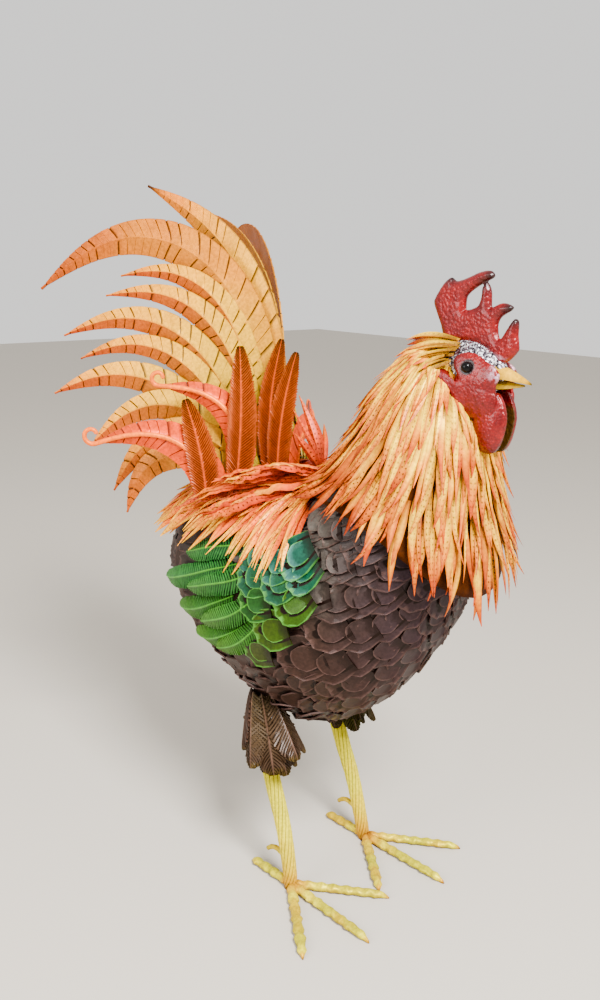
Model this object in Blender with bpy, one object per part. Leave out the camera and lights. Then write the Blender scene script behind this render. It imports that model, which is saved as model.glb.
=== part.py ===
import math

import bpy
import bmesh
from mathutils import Vector

for thing in list(bpy.data.objects):
    bpy.data.objects.remove(thing, do_unlink=True)

# Sizes in metres. The bird looks along -Y and its right side is -X.
# Everything is laid out from the middle of the feet and then moved by
# FEET_X and FEET_Y, so that the origin lies under the middle of the whole box.
FEET_X = 0.007
FEET_Y = -0.126
GAP = 0.0003            # clearance between touching pieces
TURN = 2.0 * math.pi

# Body sections from the rump to the neck's foot:
# belly (y, z), back (y, z) and half width.
BODY = (
    (0.398, 0.470, 0.402, 0.510, 0.020),
    (0.325, 0.405, 0.370, 0.585, 0.080),
    (0.225, 0.335, 0.300, 0.645, 0.122),
    (0.110, 0.292, 0.190, 0.685, 0.148),
    (0.005, 0.288, 0.090, 0.690, 0.160),
    (-0.085, 0.345, 0.020, 0.690, 0.162),
    (-0.155, 0.430, -0.020, 0.710, 0.152),
    (-0.210, 0.520, -0.045, 0.750, 0.134),
    (-0.235, 0.600, -0.065, 0.785, 0.110),
    (-0.225, 0.680, -0.090, 0.800, 0.075),
)
BODY_COLUMNS = 14       # scales around the body
BODY_FIRST_ROW = 8.2    # where the scales begin, in section numbers
BODY_LAST_ROW = 0.75
BODY_ROWS = 9
SCALE_LIFT = 0.0045     # how far a scale's tip stands off
SCALE_REACH = 0.24      # length of a scale's rounded end, in sections
STEP_CLEAR = 24.0       # sections per metre of clearance at a scale's edge

# Neck cape sections from the head to the hem: front, back, half width.
HACKLE = (
    (-0.222, 0.893, -0.138, 0.920, 0.036),
    (-0.252, 0.830, -0.092, 0.866, 0.070),
    (-0.262, 0.760, -0.062, 0.802, 0.096),
    (-0.272, 0.690, -0.024, 0.745, 0.121),
    (-0.284, 0.615, 0.012, 0.712, 0.150),
    (-0.284, 0.545, 0.040, 0.695, 0.172),
)
HACKLE_COLUMNS = 14
HACKLE_ROWS = (1.1, 2.2, 3.3, 4.5)
HACKLE_SIDE_RISE = 0.20  # the hem stands higher at the sides than in front
HACKLE_REACH = 0.32
HACKLE_LIFT = 0.010
HACKLE_PLEAT = 0.004
HACKLE_EDGE = 0.003     # thickness of the free hem

SPREAD = 0.003          # how far a cutting copy of a layer is widened, as a share
SHEET_SINK = 0.003      # depth of a layer's first edge, before it is cut to the body
UNDER_CLEAR = 0.0065    # a layer's underside above the smooth body
SADDLE_THICK = 0.010
SADDLE_LIFT = 0.017
SADDLE_STRIPS = 5
SADDLE_THROW = 0.030    # the rearmost strips reach past the rump
# Where the strips start and end on the body: section numbers from the
# foremost strip to the rearmost, and degrees down from the middle of the back.
SADDLE_START = (5.25, 2.10)
SADDLE_TIP = (4.35, 0.95)
SADDLE_START_ANGLE = 1.5
SADDLE_TIP_ANGLE = (74.0, 40.0)
WING_THICK = 0.009
WING_LIFT = 0.016
WING_FEATHERS = 5
# The same for the wing, from its topmost feather to its lowest.
WING_START = (6.35, 6.05)
WING_TIP = (1.35, 2.65)
WING_START_ANGLE = (56.0, 94.0)
WING_TIP_ANGLE = (75.0, 114.0)
WING_ROUND = 0.55       # how far the shoulder is rounded off, in sections

# Where the feathers' centrelines meet (y, z), from the back of one body section.
TAIL_SECTION = 3
TAIL_AHEAD = 0.025
TAIL_RISE = 0.005
TAIL_ROOT = (BODY[TAIL_SECTION][2] - TAIL_AHEAD, BODY[TAIL_SECTION][3] + TAIL_RISE)
SHEET = 0.0026               # thickness of a feather at its crease

SKULL_CENTRE = Vector((0.0, -0.236, 0.895))
SKULL_RADII = (0.026, 0.050, 0.043)

# Where each foot stands (x, y); the left one is set a little further in.
FOOT = {-1.0: (-0.113, -0.014), 1.0: (0.088, 0.000)}
LEG_LEAN = {-1.0: 0.000, 1.0: 0.026}     # how much further back the top is
LEG_PATH = ((0.000, 0.000), (0.004, 0.035), (0.023, 0.111), (0.056, 0.196), (0.124, 0.390))
LEG_RADIUS_FOOT = 0.0125
LEG_RADIUS_TOP = 0.0165
LEG_FLUTES = 5
LEG_TURNS = 1.4
LEG_STEPS = 10

TOE_WIDTH = 0.020
TOE_HEIGHT = 0.017
TOE_HALF_ANGLE = math.radians(18.0)


def paint(name, colour, roughness, metallic):
    material = bpy.data.materials.new(name)
    material.use_nodes = True
    shader = material.node_tree.nodes["Principled BSDF"]
    shader.inputs["Base Color"].default_value = (colour[0], colour[1], colour[2], 1.0)
    shader.inputs["Roughness"].default_value = roughness
    shader.inputs["Metallic"].default_value = metallic
    return material


BROWN = (0.075, 0.045, 0.040)
SCALE_PAINT = (BROWN, 0.45, 0.5)
HACKLE_PAINT = ((0.78, 0.36, 0.08), 0.42, 0.4)
SADDLE_PAINT = ((0.72, 0.27, 0.10), 0.42, 0.4)
WING_PAINT = ((0.06, 0.33, 0.13), 0.38, 0.4)
SICKLE_PAINT = ((0.80, 0.36, 0.06), 0.40, 0.4)
LEAF_PAINT = ((0.62, 0.20, 0.05), 0.42, 0.4)
RED_PAINT = ((0.38, 0.03, 0.035), 0.35, 0.4)
YELLOW_PAINT = ((0.70, 0.48, 0.05), 0.40, 0.3)
SILVER_PAINT = ((0.42, 0.38, 0.36), 0.45, 0.6)
THIGH_PAINT = ((0.13, 0.075, 0.045), 0.5, 0.4)
EYE_PAINT = ((0.01, 0.01, 0.01), 0.12, 0.0)


def solid(name, verts, faces, look):
    mesh = bpy.data.meshes.new(name)
    mesh.from_pydata([tuple(v) for v in verts], [], faces)
    shape = bmesh.new()
    shape.from_mesh(mesh)
    bmesh.ops.remove_doubles(shape, verts=shape.verts, dist=1e-6)
    bmesh.ops.triangulate(shape, faces=shape.faces)
    bmesh.ops.recalc_face_normals(shape, faces=shape.faces)
    shape.to_mesh(mesh)
    shape.free()
    piece = bpy.data.objects.new(name, mesh)
    bpy.context.scene.collection.objects.link(piece)
    if look:
        mesh.materials.append(paint(name + "_paint", *look))
    return piece


def combine(piece, tool, operation):
    change = piece.modifiers.new("change", "BOOLEAN")
    change.operation = operation
    change.solver = "EXACT"
    change.object = tool
    graph = bpy.context.evaluated_depsgraph_get()
    mesh = bpy.data.meshes.new_from_object(piece.evaluated_get(graph))
    piece.modifiers.clear()
    piece.data = mesh
    shape = bmesh.new()
    shape.from_mesh(mesh)
    bmesh.ops.triangulate(shape, faces=shape.faces)
    shape.to_mesh(mesh)
    shape.free()
    bpy.data.objects.remove(tool, do_unlink=True)


def keep_largest(piece):
    # Drops the loose scraps that a cut has left behind.
    shape = bmesh.new()
    shape.from_mesh(piece.data)
    groups = []
    waiting = set(shape.verts)
    while waiting:
        group = [waiting.pop()]
        for vert in group:
            for edge in vert.link_edges:
                other = edge.other_vert(vert)
                if other in waiting:
                    waiting.remove(other)
                    group.append(other)
        groups.append(group)
    groups.sort(key=len)
    for group in groups[:-1]:
        bmesh.ops.delete(shape, geom=group, context="VERTS")
    shape.to_mesh(piece.data)
    shape.free()


def loft(rings, start, end):
    # A tube through rings of equal count, closed by a fan at each end.
    count = len(rings[0])
    verts = [p for ring in rings for p in ring]
    faces = []
    for k in range(len(rings) - 1):
        for i in range(count):
            a = k * count + i
            b = k * count + (i + 1) % count
            faces.append((a, b, b + count, a + count))
    verts.append(start)
    verts.append(end)
    first = len(verts) - 2
    last = (len(rings) - 1) * count
    for i in range(count):
        j = (i + 1) % count
        faces.append((j, i, first))
        faces.append((last + i, last + j, first + 1))
    return verts, faces


def smooth_value(table, t):
    # A row of the table read at a fractional row number, eased between rows.
    t = min(max(t, 0.0), len(table) - 1.0)
    k = min(int(t), len(table) - 2)
    f = t - k
    a = table[max(k - 1, 0)]
    b = table[k]
    c = table[k + 1]
    d = table[min(k + 2, len(table) - 1)]
    row = []
    for p, q, r, s in zip(a, b, c, d):
        row.append(
            0.5 * (2 * q + (r - p) * f + (2 * p - 5 * q + 4 * r - s) * f * f
                   + (3 * q - p - 3 * r + s) * f ** 3)
        )
    return row


def skin(table, t, angle, lift):
    # A point on the oval section t; angle 0 is the back and the lift is outward.
    front_y, front_z, back_y, back_z, half = smooth_value(table, t)
    along_y = back_y - front_y
    along_z = back_z - front_z
    size = math.hypot(along_y, along_z)
    reach = (0.5 * size + lift) * math.cos(angle) / size
    return Vector((
        (half + lift) * math.sin(angle),
        0.5 * (front_y + back_y) + along_y * reach,
        0.5 * (front_z + back_z) + along_z * reach,
    ))


def ring(table, t, columns, lift, contract=1.0):
    points = [skin(table, t, TURN * i / (2 * columns), lift) for i in range(2 * columns)]
    middle = sum(points, Vector()) / len(points)
    return [middle + (p - middle) * contract for p in points]


# Body with its rows of scales, each row's tips standing over the next
def body_row_place(row):
    return BODY_FIRST_ROW + (BODY_LAST_ROW - BODY_FIRST_ROW) * row / (BODY_ROWS - 1)


def body_shape(extra):
    top = len(BODY) - 1.0
    rings = [ring(BODY, top, BODY_COLUMNS, extra)]
    for row in range(BODY_ROWS):
        high = []
        low = []
        for i in range(2 * BODY_COLUMNS):
            tip = (i + row) % 2 == 0
            t = body_row_place(row) + (-SCALE_REACH if tip else SCALE_REACH)
            t -= extra * STEP_CLEAR
            lift = SCALE_LIFT if tip else 0.7 * SCALE_LIFT
            angle = TURN * i / (2 * BODY_COLUMNS)
            high.append(skin(BODY, t, angle, lift + extra))
            low.append(skin(BODY, t, angle, extra))
        rings.append(high)
        rings.append(low)
    rings.append(ring(BODY, 0.22, BODY_COLUMNS, extra))
    rings.append(ring(BODY, 0.0, BODY_COLUMNS, extra))
    middle = sum(rings[0], Vector()) / len(rings[0])
    away = (middle - sum(rings[1], Vector()) / len(rings[1])).normalized()
    end = sum(rings[-1], Vector()) / len(rings[-1]) + Vector((0.0, 0.004 + extra, 0.0))
    return loft(rings, middle + away * extra, end)


def body_tool(extra):
    return solid("tool", *body_shape(extra), None)


def sphere(name, centre, radii, columns, rows, extra, look):
    rings = []
    for k in range(1, rows):
        a = math.pi * k / rows
        rings.append([
            Vector((
                centre[0] + (radii[0] + extra) * math.cos(a),
                centre[1] + (radii[1] + extra) * math.sin(a) * math.cos(TURN * i / columns),
                centre[2] + (radii[2] + extra) * math.sin(a) * math.sin(TURN * i / columns),
            ))
            for i in range(columns)
        ])
    start = Vector(centre) + Vector((radii[0] + extra, 0.0, 0.0))
    end = Vector(centre) - Vector((radii[0] + extra, 0.0, 0.0))
    return solid(name, *loft(rings, start, end), look)


def skull_tool():
    return sphere("tool", SKULL_CENTRE, SKULL_RADII, 12, 6, GAP, None)


# Neck cape of long pleated feathers, each row standing over the next
def hackle_shape(extra):
    rings = [ring(HACKLE, 0.0, HACKLE_COLUMNS, extra)]
    last = len(HACKLE_ROWS) - 1
    for row, place in enumerate(HACKLE_ROWS):
        high = []
        low = []
        for i in range(2 * HACKLE_COLUMNS):
            tip = (i + row) % 2 == 0
            t = place + (HACKLE_REACH if tip else -HACKLE_REACH)
            grow = 0.5 + 0.5 * place / HACKLE_ROWS[-1]
            lift = (HACKLE_LIFT if tip else HACKLE_LIFT - HACKLE_PLEAT) * grow
            angle = TURN * i / (2 * HACKLE_COLUMNS)
            t *= 1.0 - HACKLE_SIDE_RISE * math.sin(angle) ** 2
            high.append(skin(HACKLE, t, angle, lift + extra))
            if row < last:
                low.append(skin(HACKLE, t, angle, (lift - 0.006 * grow) + extra))
            else:
                low.append(skin(HACKLE, t - 0.02, angle, lift - HACKLE_EDGE - extra))
        rings.append(high)
        rings.append(low)
    inner = (HACKLE_ROWS[-1] - HACKLE_REACH) * (1.0 - HACKLE_SIDE_RISE) - 0.25
    rings.append(ring(HACKLE, inner, HACKLE_COLUMNS, -0.004 - extra, 0.90))
    rings.append(ring(HACKLE, inner, HACKLE_COLUMNS, -0.004 - extra, 0.45))
    start = sum(rings[0], Vector()) / len(rings[0]) + Vector((0.0, 0.0, 0.004 + extra))
    end = sum(rings[-1], Vector()) / len(rings[-1])
    return loft(rings, start, end)


def feather_sheet(name, place, rows, columns, look, spread=0.0):
    # place(u, v) gives a point for each lift; rows lists u, reach, high, low.
    # Columns stand at v from 0 to 1; each second one is a feather's ridge.
    # spread pushes all four edges outward, for a cutting copy.
    verts = []
    loops = []
    for j in range(2 * columns + 1):
        v = j / (2.0 * columns)
        v += spread * (1 if j == 2 * columns else -1 if j == 0 else 0)
        outer = []
        inner = []
        link = []
        for k, (u, reach, high, low) in enumerate(rows):
            ridge = (j + k) % 2 == 1
            at = u + (reach if ridge else -reach) + (spread if k else -spread)
            outer.append(place(at, v, high if ridge else high - 0.25 * abs(high - low)))
            inner.append(place(at, v, None))
            link.append(k)
            if 0 < k < len(rows) - 1:
                outer.append(place(at, v, low))
                link.append(k)
        base = len(verts)
        verts.extend(outer)
        verts.extend(inner)
        loops.append((base, base + len(outer), link))
    faces = []
    for j in range(len(loops) - 1):
        a, a_in, link = loops[j]
        b, b_in, _ = loops[j + 1]
        for i in range(len(link) - 1):
            faces.append((a + i, a + i + 1, b + i + 1, b + i))
        for k in range(link[-1]):
            faces.append((a_in + k, b_in + k, b_in + k + 1, a_in + k + 1))
        end = len(link) - 1
        faces.append((a, b, b_in, a_in))
        faces.append((a + end, a_in + link[-1], b_in + link[-1], b + end))
    for base, base_in, link in (loops[0], loops[-1]):
        for i in range(len(link) - 1):
            p = base_in + link[i]
            q = base_in + link[i + 1]
            if p == q:
                faces.append((base + i, base + i + 1, p))
            else:
                faces.append((base + i, base + i + 1, q, p))
    return solid(name, verts, faces, look)


def blend(a, b, f):
    return a + (b - a) * f


def under_lift(u, bend, rise):
    # Underside of a layer: sunk at its first edge, rising again near the tips.
    if u <= 0.0:
        return -SHEET_SINK
    return UNDER_CLEAR + max(0.0, u - bend) * rise


def saddle_place(side, extra, sunk=False):
    # sunk puts the whole underside below the body, for cutting feather roots.
    def place(u, v, lift):
        start_t = blend(*SADDLE_START, v)
        tip_t = blend(*SADDLE_TIP, v)
        start_angle = math.radians(SADDLE_START_ANGLE)
        tip_angle = math.radians(blend(*SADDLE_TIP_ANGLE, max(v, 0.0) ** 1.3))
        t = blend(start_t, tip_t, max(u, 0.0) ** 1.4)
        angle = side * blend(start_angle, tip_angle, u)
        throw = Vector((0.0, SADDLE_THROW * v * v * u * u, 0.0))
        if lift is None:
            under = -SHEET_SINK if sunk else under_lift(u, 0.8, 0.020)
            return skin(BODY, t, angle, under - extra) + throw
        return skin(BODY, t, angle, lift + extra) + throw
    return place


SADDLE_ROWS = (
    (0.00, 0.00, SADDLE_THICK, SADDLE_THICK),
    (0.20, 0.00, SADDLE_THICK, SADDLE_THICK),
    (0.42, 0.05, SADDLE_THICK + 0.004, SADDLE_THICK),
    (0.70, 0.07, SADDLE_THICK + 0.005, SADDLE_THICK + 0.001),
    (0.97, 0.09, SADDLE_LIFT, SADDLE_LIFT),
)


def wing_place(side, extra):
    def place(u, v, lift):
        start_t = blend(*WING_START, v)
        tip_t = blend(*WING_TIP, max(v, 0.0) ** 1.4)
        start_angle = math.radians(blend(*WING_START_ANGLE, v))
        tip_angle = math.radians(blend(*WING_TIP_ANGLE, v))
        round_end = WING_ROUND * (2.0 * v - 1.0) ** 2 * max(0.0, 1.0 - 3.0 * u)
        t = blend(start_t, tip_t, u) - round_end
        angle = side * blend(start_angle, tip_angle, u)
        if lift is None:
            return skin(BODY, t, angle, under_lift(u, 0.72, 0.012) - extra)
        return skin(BODY, t, angle, lift + extra)
    return place


WING_ROWS = (
    (0.00, 0.00, WING_THICK, WING_THICK),
    (0.24, 0.03, WING_THICK + 0.004, WING_THICK),
    (0.48, 0.04, WING_THICK + 0.005, WING_THICK),
    (0.70, 0.00, WING_THICK + 0.002, WING_THICK + 0.002),
    (0.93, 0.07, WING_LIFT, WING_LIFT),
)


# Sheet feathers with a raised crease down the middle
def feather_line(launch, bend, power, length, root_back, steps, base=(0.0, 0.0)):
    # Centreline in the feather's own upright plane: r to the rear, z up.
    # The hidden root goes steeply down from the start of the curve.
    steep = math.radians(ROOT_ANGLE)
    start = math.radians(launch)
    r, z = base
    points = [
        (r - root_back * math.cos(steep), z - root_back * math.sin(steep), steep),
        (r, z, 0.5 * (steep + start)),
    ]
    fine = 8
    for k in range(1, steps * fine + 1):
        f = (k - 0.5) / (steps * fine)
        angle = math.radians(launch - bend * math.sin(0.25 * TURN * f ** power) ** 2)
        r += math.cos(angle) * length / (steps * fine)
        z += math.sin(angle) * length / (steps * fine)
        if k % fine == 0:
            points.append((r, z, angle))
    return points


def curl_line(launch, bend, length, radius, turn, root_back, steps, base):
    # A long arc and then a small roll at the tip, turning upward.
    points = feather_line(launch, bend, 0.9, length, root_back, steps, base)
    r, z, angle = points[-1]
    for k in range(ROLL_STEPS):
        step = math.radians(turn) / ROLL_STEPS
        rad = radius * (1.0 - 0.45 * k / ROLL_STEPS)
        angle += 0.5 * step
        r += math.cos(angle) * rad * step
        z += math.sin(angle) * rad * step
        angle += 0.5 * step
        points.append((r, z, angle))
    return points


def sickle_width(f):
    grow = 0.42 + 0.58 * min(1.0, f / 0.36) ** 0.9
    taper = 1.0 if f < 0.50 else max(0.12, 1.0 - ((f - 0.50) / 0.50) ** 1.9)
    return grow * taper


def leaf_width(f):
    return 0.28 + 0.72 * math.sin(math.pi * min(1.0, f * 0.93 + 0.07)) ** 0.7


def curl_width(f):
    grow = 0.45 + 0.55 * min(1.0, f / 0.25)
    taper = 1.0 if f < 0.45 else max(0.12, 1.0 - ((f - 0.45) / 0.34) ** 1.5)
    return grow * taper


def blade(name, side, root_x, splay, line, width, fold, width_rule, look):
    # A folded sheet, thickest at its crease and sharp at both edges.
    a = math.radians(splay)
    back = Vector((side * math.sin(a), math.cos(a), 0.0))
    outward = Vector((side * math.cos(a), -math.sin(a), 0.0))
    up = Vector((0.0, 0.0, 1.0))
    root = Vector((side * root_x, TAIL_ROOT[0], TAIL_ROOT[1]))
    spans = [0.0]
    for p, q in zip(line[:-1], line[1:]):
        spans.append(spans[-1] + math.hypot(q[0] - p[0], q[1] - p[1]))
    rings = []
    for (r, z, angle), span in zip(line, spans):
        share = width_rule(span / spans[-1])
        half = 0.5 * width * share
        drop = fold * share
        centre = root + back * r + up * z
        across = back * -math.sin(angle) + up * math.cos(angle)
        rings.append([
            centre + across * half - outward * drop,
            centre,
            centre - across * half - outward * drop,
            centre - outward * SHEET,
        ])
    start = (rings[0][1] + rings[0][3]) * 0.5
    end = (rings[-1][1] + rings[-1][3]) * 0.5
    end += (back * math.cos(line[-1][2]) + up * math.sin(line[-1][2])) * 0.004
    return solid(name, *loft(rings, start, end), look)


# name, root x, splay, launch, bend, power, length, width
SICKLES = (
    ("tail_top", 0.0120, 10.0, 89.0, 67.0, 1.15, 0.607, 0.066),
    ("tail_sickle", 0.0210, 24.0, 86.0, 123.0, 1.20, 0.747, 0.074),
    ("tail_cover_1", 0.0285, 25.0, 80.0, 92.0, 1.70, 0.498, 0.052),
    ("tail_cover_2", 0.0360, 26.0, 77.0, 87.0, 1.45, 0.479, 0.052),
    ("tail_cover_3", 0.0435, 27.0, 68.0, 91.0, 1.27, 0.509, 0.054),
    ("tail_cover_4", 0.0510, 28.0, 60.0, 84.0, 1.45, 0.431, 0.048),
    ("tail_cover_5", 0.0585, 29.0, 47.0, 73.0, 1.30, 0.435, 0.056),
    ("tail_cover_6", 0.0660, 30.0, 55.0, 101.0, 1.00, 0.363, 0.054),
    ("tail_cover_7", 0.0735, 31.0, 50.0, 112.0, 0.85, 0.316, 0.050),
    ("tail_cover_8", 0.0810, 32.0, 20.0, 96.0, 1.20, 0.274, 0.050),
)
SICKLE_FOLD = 0.0045
SICKLE_STEPS = 7
ROOT_BACK = 0.075
ROOT_ANGLE = 86.0
# The left top feather is a little shorter and hangs lower.
LEFT_TOP = (73.0, 0.585)
# Four upright leaves ahead of the tail and to its right.
# name, root x, splay, launch, bend, length, width, base in the feather's plane
LEAVES = (
    ("tail_leaf_1", 0.1127, 30.0, 95.0, 8.0, 0.236, 0.052, (-0.017, -0.020)),
    ("tail_leaf_2", 0.1160, 50.0, 84.0, 12.0, 0.172, 0.050, (0.030, -0.040)),
    ("tail_leaf_3", 0.0786, 46.4, 92.0, -12.0, 0.208, 0.042, (-0.058, 0.000)),
    ("tail_leaf_4", 0.0681, 46.4, 85.0, -17.0, 0.222, 0.042, (-0.0413, 0.005)),
)
LEAF_FOLD = 0.006
LEAF_STEPS = 4
# name, root x, splay, launch, bend, length, roll radius, width, base
CURLS = (
    ("tail_curl_upper", 0.0890, 44.0, 100.0, 98.0, 0.236, 0.013, 0.046, (0.0, 0.0)),
    ("tail_curl_lower", 0.1000, 50.0, 79.0, 97.0, 0.264, 0.015, 0.056, (0.03, -0.05)),
)
ROLL_TURN = 210.0
ROLL_STEPS = 5
# On the left the upper curl stands further forward and turns outward over the
# back, and the lower one is set further to the rear to clear it.
LEFT_CURLS = (
    ("tail_curl_upper", 0.0820, 62.0, 88.0, 150.0, 0.200, 0.018, 0.046, (-0.075, -0.008)),
    ("tail_curl_lower", 0.1000, 40.0, 79.0, 97.0, 0.264, 0.015, 0.056, (0.055, -0.055)),
)


def seat_on_back(piece):
    for side in (-1.0, 1.0):
        place = saddle_place(side, GAP, sunk=True)
        tool = feather_sheet("tool", place, SADDLE_ROWS, SADDLE_STRIPS, None, SPREAD)
        combine(piece, tool, "DIFFERENCE")
    combine(piece, body_tool(GAP), "DIFFERENCE")
    keep_largest(piece)


def build_leaves(side):
    for name, x, splay, launch, bend, length, width, base in LEAVES:
        line = feather_line(launch, bend, 1.0, length, ROOT_BACK, LEAF_STEPS, base)
        piece = blade(name, side, x, splay, line, width, LEAF_FOLD, leaf_width, LEAF_PAINT)
        seat_on_back(piece)


def build_tail(side, word):
    for name, x, splay, launch, bend, power, length, width in SICKLES:
        if name == "tail_top" and side > 0.0:
            bend, length = LEFT_TOP
        line = feather_line(launch, bend, power, length, ROOT_BACK, SICKLE_STEPS)
        piece = blade(
            name + word, side, x, splay, line, width, SICKLE_FOLD, sickle_width, SICKLE_PAINT
        )
        seat_on_back(piece)
    curls = CURLS if side < 0.0 else LEFT_CURLS
    for name, x, splay, launch, bend, length, radius, width, base in curls:
        line = curl_line(launch, bend, length, radius, ROLL_TURN, ROOT_BACK, SICKLE_STEPS, base)
        piece = blade(
            name + word, side, x, splay, line, width, LEAF_FOLD, curl_width, SICKLE_PAINT
        )
        seat_on_back(piece)


# Comb: a low crest along the skull with curved horns fused to it
# root (y, z), bend point, tip, width at root, width at tip
HORNS = (
    ((-0.186, 0.958), (-0.240, 0.950), (-0.307, 0.930), 0.052, 0.026),
    ((-0.204, 0.947), (-0.158, 1.014), (-0.260, 1.030), 0.066, 0.012),
    ((-0.186, 0.990), (-0.180, 1.012), (-0.195, 1.020), 0.022, 0.006),
    ((-0.238, 0.950), (-0.234, 0.990), (-0.254, 1.018), 0.042, 0.011),
    ((-0.262, 0.945), (-0.262, 0.988), (-0.296, 0.988), 0.040, 0.012),
    ((-0.284, 0.930), (-0.286, 0.955), (-0.303, 0.971), 0.030, 0.011),
)
COMB_THICK = 0.018


def horn(root, bend, tip, wide, narrow, number):
    rings = []
    steps = 3 + (wide > 0.06)
    for k in range(steps + 1):
        f = k / steps
        y = (1 - f) ** 2 * root[0] + 2 * f * (1 - f) * bend[0] + f * f * tip[0]
        z = (1 - f) ** 2 * root[1] + 2 * f * (1 - f) * bend[1] + f * f * tip[1]
        dy = (1 - f) * (bend[0] - root[0]) + f * (tip[0] - bend[0])
        dz = (1 - f) * (bend[1] - root[1]) + f * (tip[1] - bend[1])
        size = math.hypot(dy, dz)
        half = 0.5 * blend(wide, narrow, f ** 0.8)
        thick = 0.5 * blend(COMB_THICK, 0.4 * COMB_THICK, f) * (1.0 - 0.03 * number)
        across = Vector((0.0, -dz / size, dy / size))
        centre = Vector((0.0, y, z))
        flat = Vector((thick, 0.0, 0.0))
        rings.append([
            centre + across * half,
            centre + across * half * 0.5 + flat,
            centre - across * half * 0.5 + flat,
            centre - across * half,
            centre - across * half * 0.5 - flat,
            centre + across * half * 0.5 - flat,
        ])
    end = rings[-1][0] * 0.5 + rings[-1][3] * 0.5 + Vector((0.0, dy, dz)) / size * 0.003
    start = rings[0][0] * 0.5 + rings[0][3] * 0.5
    return loft(rings, start, end)


def build_comb():
    comb = solid("comb", *horn(*HORNS[0], 0), RED_PAINT)
    for number, shape in enumerate(HORNS[1:]):
        tool = solid("tool", *horn(*shape, number + 1), None)
        combine(comb, tool, "UNION")
    combine(comb, skull_tool(), "DIFFERENCE")


# Face plates: a lobed cheek and a hanging wattle, both domed outward
# y, z, radius in y, radius in z, inner x, outer x, flare to the rear, lobes
CHEEK = (-0.234, 0.884, 0.053, 0.043, 0.017, 0.032, 0.22, 0.04)
WATTLE = (-0.275, 0.828, 0.027, 0.041, 0.007, 0.021, 0.0, 0.0)


def lens(y, z, radius_y, radius_z, back_x, front_x, flare, lobes, side, extra):
    count = 10
    rings = []
    for x, share in ((back_x - extra, 1.0), (front_x - 0.006 + extra, 0.97), (front_x + extra, 0.66)):
        row = []
        for i in range(count):
            a = TURN * i / count
            wave = 1.0 + lobes * math.cos(5.0 * a)
            reach = (radius_y + extra) * share * wave * math.cos(a)
            out = flare * max(0.0, reach) if x > back_x else 0.0
            row.append(Vector((
                side * (x + out),
                y + reach,
                z + (radius_z + extra) * share * wave * math.sin(a),
            )))
        rings.append(row)
    start = Vector((side * (back_x - extra), y, z))
    end = Vector((side * (front_x + 0.0015 + extra), y, z))
    return loft(rings, start, end)


def face_piece(name, side, extra, look):
    piece = solid(name, *lens(*CHEEK, side, extra), look)
    combine(piece, solid("tool", *lens(*WATTLE, side, extra), None), "UNION")
    return piece


EYE_CENTRE = (0.0310, -0.2500, 0.907)
EYE_RADIUS = 0.0075


def build_face(side, word):
    face = face_piece("face" + word, side, 0.0, RED_PAINT)
    combine(face, skull_tool(), "DIFFERENCE")
    centre = (side * EYE_CENTRE[0], EYE_CENTRE[1], EYE_CENTRE[2])
    radii = (EYE_RADIUS, EYE_RADIUS, EYE_RADIUS)
    eye = sphere("eye" + word, centre, radii, 8, 5, 0.0, EYE_PAINT)
    combine(eye, face_piece("tool", side, GAP, None), "DIFFERENCE")


# Beak: the upper part hooks over the lower one
BEAK_TIP = (-0.334, 0.890)
BEAK_ROOT_Y = -0.262


def build_beak():
    for name, top, bottom, half, tip_y, tip_z in (
        ("beak_upper", 0.914, 0.8935, 0.017, BEAK_TIP[0], BEAK_TIP[1]),
        ("beak_lower", 0.8932, 0.8800, 0.013, BEAK_TIP[0] + 0.010, BEAK_TIP[1] - 0.0032),
    ):
        rings = []
        steps = 5
        for k in range(steps + 1):
            f = k / steps
            y = blend(BEAK_ROOT_Y, tip_y, f)
            upper = blend(top, tip_z + 0.002, f ** (1.6 if name == "beak_upper" else 1.0))
            lower = blend(bottom, tip_z - 0.0015, f ** 2.0)
            wide = half * (1.0 - f ** 1.5) + 0.0015
            rings.append([
                Vector((0.0, y, upper)),
                Vector((wide * 0.75, y, blend(lower, upper, 0.65))),
                Vector((wide, y, lower + 0.0006)),
                Vector((0.0, y, lower)),
                Vector((-wide, y, lower + 0.0006)),
                Vector((-wide * 0.75, y, blend(lower, upper, 0.65))),
            ])
        start = sum(rings[0], Vector()) / 6
        end = sum(rings[-1], Vector()) / 6 + Vector((0.0, -0.002, -0.0004))
        beak = solid(name, *loft(rings, start, end), YELLOW_PAINT)
        combine(beak, skull_tool(), "DIFFERENCE")
        for side in (-1.0, 1.0):
            combine(beak, face_piece("tool", side, GAP, None), "DIFFERENCE")


# Legs: fluted bars, twisted about their own length
def leg_point(side, f):
    y, z = smooth_value(LEG_PATH, f * (len(LEG_PATH) - 1))
    x, foot_y = FOOT[side]
    return Vector((x, foot_y + y + LEG_LEAN[side] * f, z))


def leg_shape(side, extra):
    rings = []
    for k in range(LEG_STEPS + 1):
        f = k / LEG_STEPS
        centre = leg_point(side, f)
        radius = blend(LEG_RADIUS_FOOT, LEG_RADIUS_TOP, f) + 1.6 * extra
        row = []
        for i in range(2 * LEG_FLUTES):
            a = TURN * (i / (2 * LEG_FLUTES) + LEG_TURNS * f)
            reach = radius * (1.0 if i % 2 == 0 else 0.80)
            row.append(centre + Vector((
                reach * math.cos(a), reach * math.sin(a), -extra if k == 0 else extra
            )))
        rings.append(row)
    start = leg_point(side, 0.0) - Vector((0.0, 0.0, extra))
    return loft(rings, start, leg_point(side, 1.0) + Vector((0.0, 0.0, extra)))


def leg_tool(side):
    return solid("tool", *leg_shape(side, GAP), None)


# name, heading from straight ahead (outward is positive), length
TOES = (
    ("toe_inner", -38.0, 0.168),
    ("toe_middle", 1.0, 0.184),
    ("toe_outer", 37.0, 0.176),
    ("toe_back", 180.0, 0.100),
)
LEFT_INNER_LENGTH = 0.156   # stops short of the other foot's toe


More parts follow.
